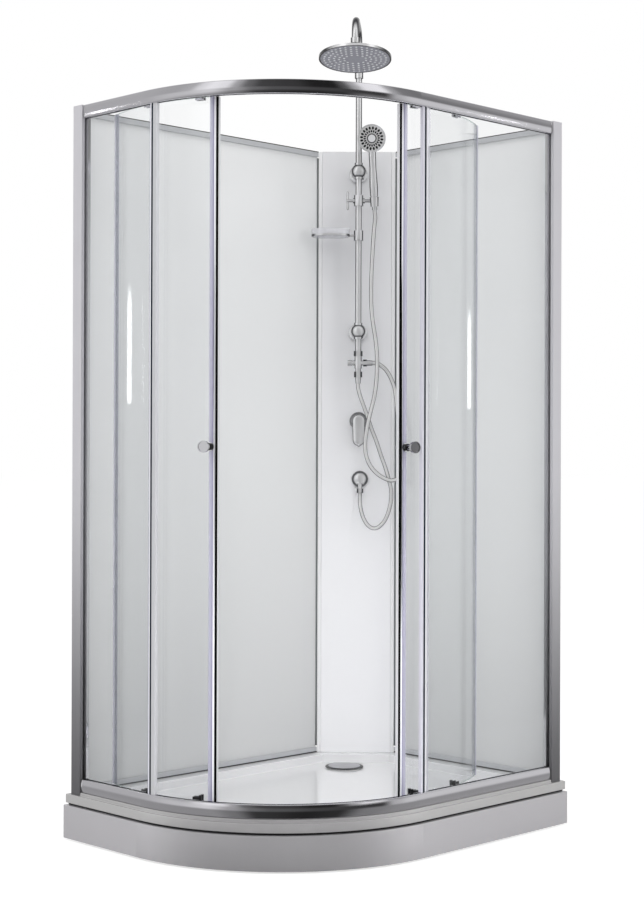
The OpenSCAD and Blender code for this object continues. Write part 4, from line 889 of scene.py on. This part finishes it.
def roundEdges(name, width, segments):
    piece = nodes[name]
    weld = piece.modifiers.new("weld", "WELD")
    weld.merge_threshold = 0.00001
    bevel = piece.modifiers.new("bevel", "BEVEL")
    bevel.width = width
    bevel.segments = segments
    bevel.limit_method = "ANGLE"
    bevel.angle_limit = roundedAngle
    bevel.use_clamp_overlap = True
    bevel.harden_normals = True


for name, (width, segments) in edgeRounding.items():
    roundEdges(name, width, segments)
print("edges rounded on", len(edgeRounding), "pieces")

# Studio: pale floor, soft surroundings, four soft lamps and two glowing strips that the panes mirror
studio = {
    # Degrees round the object and the brightness there: what matt surfaces get from the sides and from above.
    "soft": [
        (-180, 0.62), (-160, 0.85), (-135, 1.0), (-110, 0.85), (-90, 0.62), (0, 0.62), (90, 0.62), (180, 0.62)],
    "over": 0.62,
    # The same for mirrors, which see the studio: above the horizon, near it and below it.
    "high": [
        (-180, 1.0), (-171, 0.92), (-164, 0.42), (-157, 0.15), (-148, 0.06), (-130, 0.045), (-115, 0.015),
        (-104, 0.015), (-97, 0.10), (-90, 0.45), (-83, 0.95), (-72, 1.0), (-64, 0.40), (-56, 0.22),
        (-42, 0.20), (-30, 0.40), (-10, 0.8), (20, 0.8), (85, 0.8), (112, 0.6), (125, 0.48), (155, 0.44),
        (165, 0.50), (173, 0.85), (180, 1.0)],
    "level": [
        (-180, 0.75), (-165, 0.40), (-152, 0.16), (-140, 0.10), (-110, 0.06), (-90, 0.05), (-72, 0.05),
        (-62, 0.5), (-50, 0.66), (-30, 0.66), (20, 0.8), (90, 0.8), (130, 0.50), (160, 0.62), (180, 0.75)],
    "low": [
        (-180, 0.30), (-165, 0.20), (-150, 0.04), (-120, 0.02), (-100, 0.03), (-80, 0.22), (-50, 0.30),
        (0, 0.5), (90, 0.5), (135, 0.32), (180, 0.30)],
    "ceiling": 0.40,
    "floorHalf": 60,
}


def makeWorld():
    # White to the camera. Matt surfaces get a soft grey that is brighter from the front, and mirrors see a
    # studio that is bright to both sides, dark behind the camera and dim below.
    world = bpy.data.worlds.new("studio")
    scene.world = world
    finish = Finish("studio", world)
    ray = finish.node("ShaderNodeLightPath", out="Is Camera Ray")
    direction = finish.node("ShaderNodeTexCoord", out="Generated")
    heading = finish.node("ShaderNodeSeparateXYZ", {}, {0: direction})
    angle = maths(finish.tree, "ARCTAN2", heading.out("Y"), heading) * (1 / (2 * math.pi)) + 0.5
    soft, high, level, low = (
        finish.ramp(angle, [((at + 180) / 360, tone) for at, tone in studio[key]], "EASE")
        for key in ("soft", "high", "level", "low"))
    height = heading.out("Z")
    soft = finish.mix(finish.step(height, 0.45, 0.75), soft, (studio["over"],) * 3)
    room = finish.mix(finish.step(height, -0.22, -0.06), low, level)
    room = finish.mix(finish.step(height, 0.08, 0.20), room, high)
    room = finish.mix(finish.step(height, 0.70, 0.92), room, (studio["ceiling"],) * 3)
    room = finish.mix(ray.out("Is Glossy Ray"), soft, room)
    shown = finish.mix(ray, room, (1.0, 1.0, 1.0))
    back = finish.node("ShaderNodeBackground", {}, {"Color": shown, "Strength": 1.0})
    finish.node("ShaderNodeOutputWorld", {}, {"Surface": back})


def makeLamp(name, place, aim, size, power, spread=math.pi):
    data = bpy.data.lights.new(name, "AREA")
    data.shape = "RECTANGLE"
    data.size, data.size_y = size
    data.energy = power
    data.spread = spread
    lamp = bpy.data.objects.new(name, data)
    lamp.location = place
    lamp.rotation_mode = "QUATERNION"
    lamp.rotation_quaternion = (Vector(aim) - Vector(place)).to_track_quat("-Z", "Y")
    lamp.visible_glossy = False
    scene.collection.objects.link(lamp)


def makeCard(name, corners, material):  # a flat piece of the studio with four corners
    mesh = bpy.data.meshes.new(name)
    mesh.from_pydata(corners, [], [(0, 1, 2, 3)])
    mesh.materials.append(material)
    card = bpy.data.objects.new(name, mesh)
    scene.collection.objects.link(card)
    return card


def makeStrip(name, foot, width, height, facing, strength):
    # A narrow upright glowing card that is only seen in panes and mirrors, fading to its sides and its top:
    # glow = (1 - across^2)^2 times a smooth fall over the upper part.
    finish = Finish(name)
    place = finish.node("ShaderNodeUVMap", {"uv_map": "UVMap"})
    across = finish.node("ShaderNodeSeparateXYZ", {}, {0: place})
    up = across.out("Y")
    side = (across * 2 - 1) * (across * 2 - 1)
    glow = (1 - side) * (1 - side) * (1 - finish.step(up, 0.72, 1.0)) * finish.step(up, 0.0, 0.05)
    tone = finish.mix(glow, (0, 0, 0), (1, 1, 1))
    light = finish.node("ShaderNodeEmission", {}, {"Color": tone, "Strength": strength})
    clear = finish.node("ShaderNodeBsdfTransparent", {}, {"Color": (1, 1, 1)})
    card = finish.done(finish.node("ShaderNodeAddShader", {}, {0: light, 1: clear}))
    x, y, z = foot
    dx, dy = -math.sin(facing) * width / 2, math.cos(facing) * width / 2
    near, away = (x - dx, y - dy), (x + dx, y + dy)
    strip = makeCard(name, [(*near, z), (*away, z), (*away, z + height), (*near, z + height)], card)
    strip.data.uv_layers.new(name="UVMap").data.foreach_set("uv", [0, 0, 1, 0, 1, 1, 0, 1])
    strip.visible_camera = strip.visible_diffuse = strip.visible_shadow = strip.visible_transmission = False


def makeFloor():
    # A wide flat floor: pale and matt, white to the camera, but it keeps the object's soft shadow.
    finish = Finish("floor")
    grain = finish.noise(5.0, 3.0)
    matt = finish.surface(finish.mix(grain, (0.86, 0.86, 0.86), (0.88, 0.88, 0.88)), 0.8)
    shade = finish.node("ShaderNodeBsdfDiffuse", {}, {"Color": (0.52, 0.52, 0.52)})
    glow = finish.node("ShaderNodeEmission", {}, {"Color": (1, 1, 1), "Strength": 0.67})
    seen = finish.node("ShaderNodeAddShader", {}, {0: shade, 1: glow})
    ray = finish.node("ShaderNodeLightPath", out="Is Camera Ray")
    clear = finish.node("ShaderNodeBsdfTransparent", {}, {"Color": (1, 1, 1)})
    matt = finish.node("ShaderNodeMixShader", {}, {0: ray.out("Is Glossy Ray"), 1: matt, 2: clear})
    material = finish.done(finish.node("ShaderNodeMixShader", {}, {0: ray, 1: matt, 2: seen}))
    half = studio["floorHalf"]
    makeCard("floor", [(-half, -half, 0), (half, -half, 0), (half, half, 0), (-half, half, 0)], material)


makeWorld()
makeFloor()
makeLamp("overheadSoftbox", (-0.4, -0.4, 4.6), (0.1, 0.1, 0.5), (3.0, 3.0), 58)
makeLamp("leftSoftbox", (-4.2, 0.6, 2.4), (0, 0, 1.0), (1.6, 2.6), 36)
makeLamp("rightSoftbox", (0.6, -4.2, 2.4), (0, 0, 1.0), (1.6, 2.6), 36)
makeLamp("frontFill", (-2.3, -2.3, 0.9), (0.487, 0.332, 0.35), (0.7, 0.7), 0.9, math.radians(30))
makeStrip("leftStrip", (-6.78, 8.02, 1.5), 0.045, 1.08, math.radians(-51.6), 14.0)
makeStrip("rightStrip", (7.81, -6.88, 1.47), 0.036, 0.93, math.radians(139.8), 14.0)
print("studio ready")
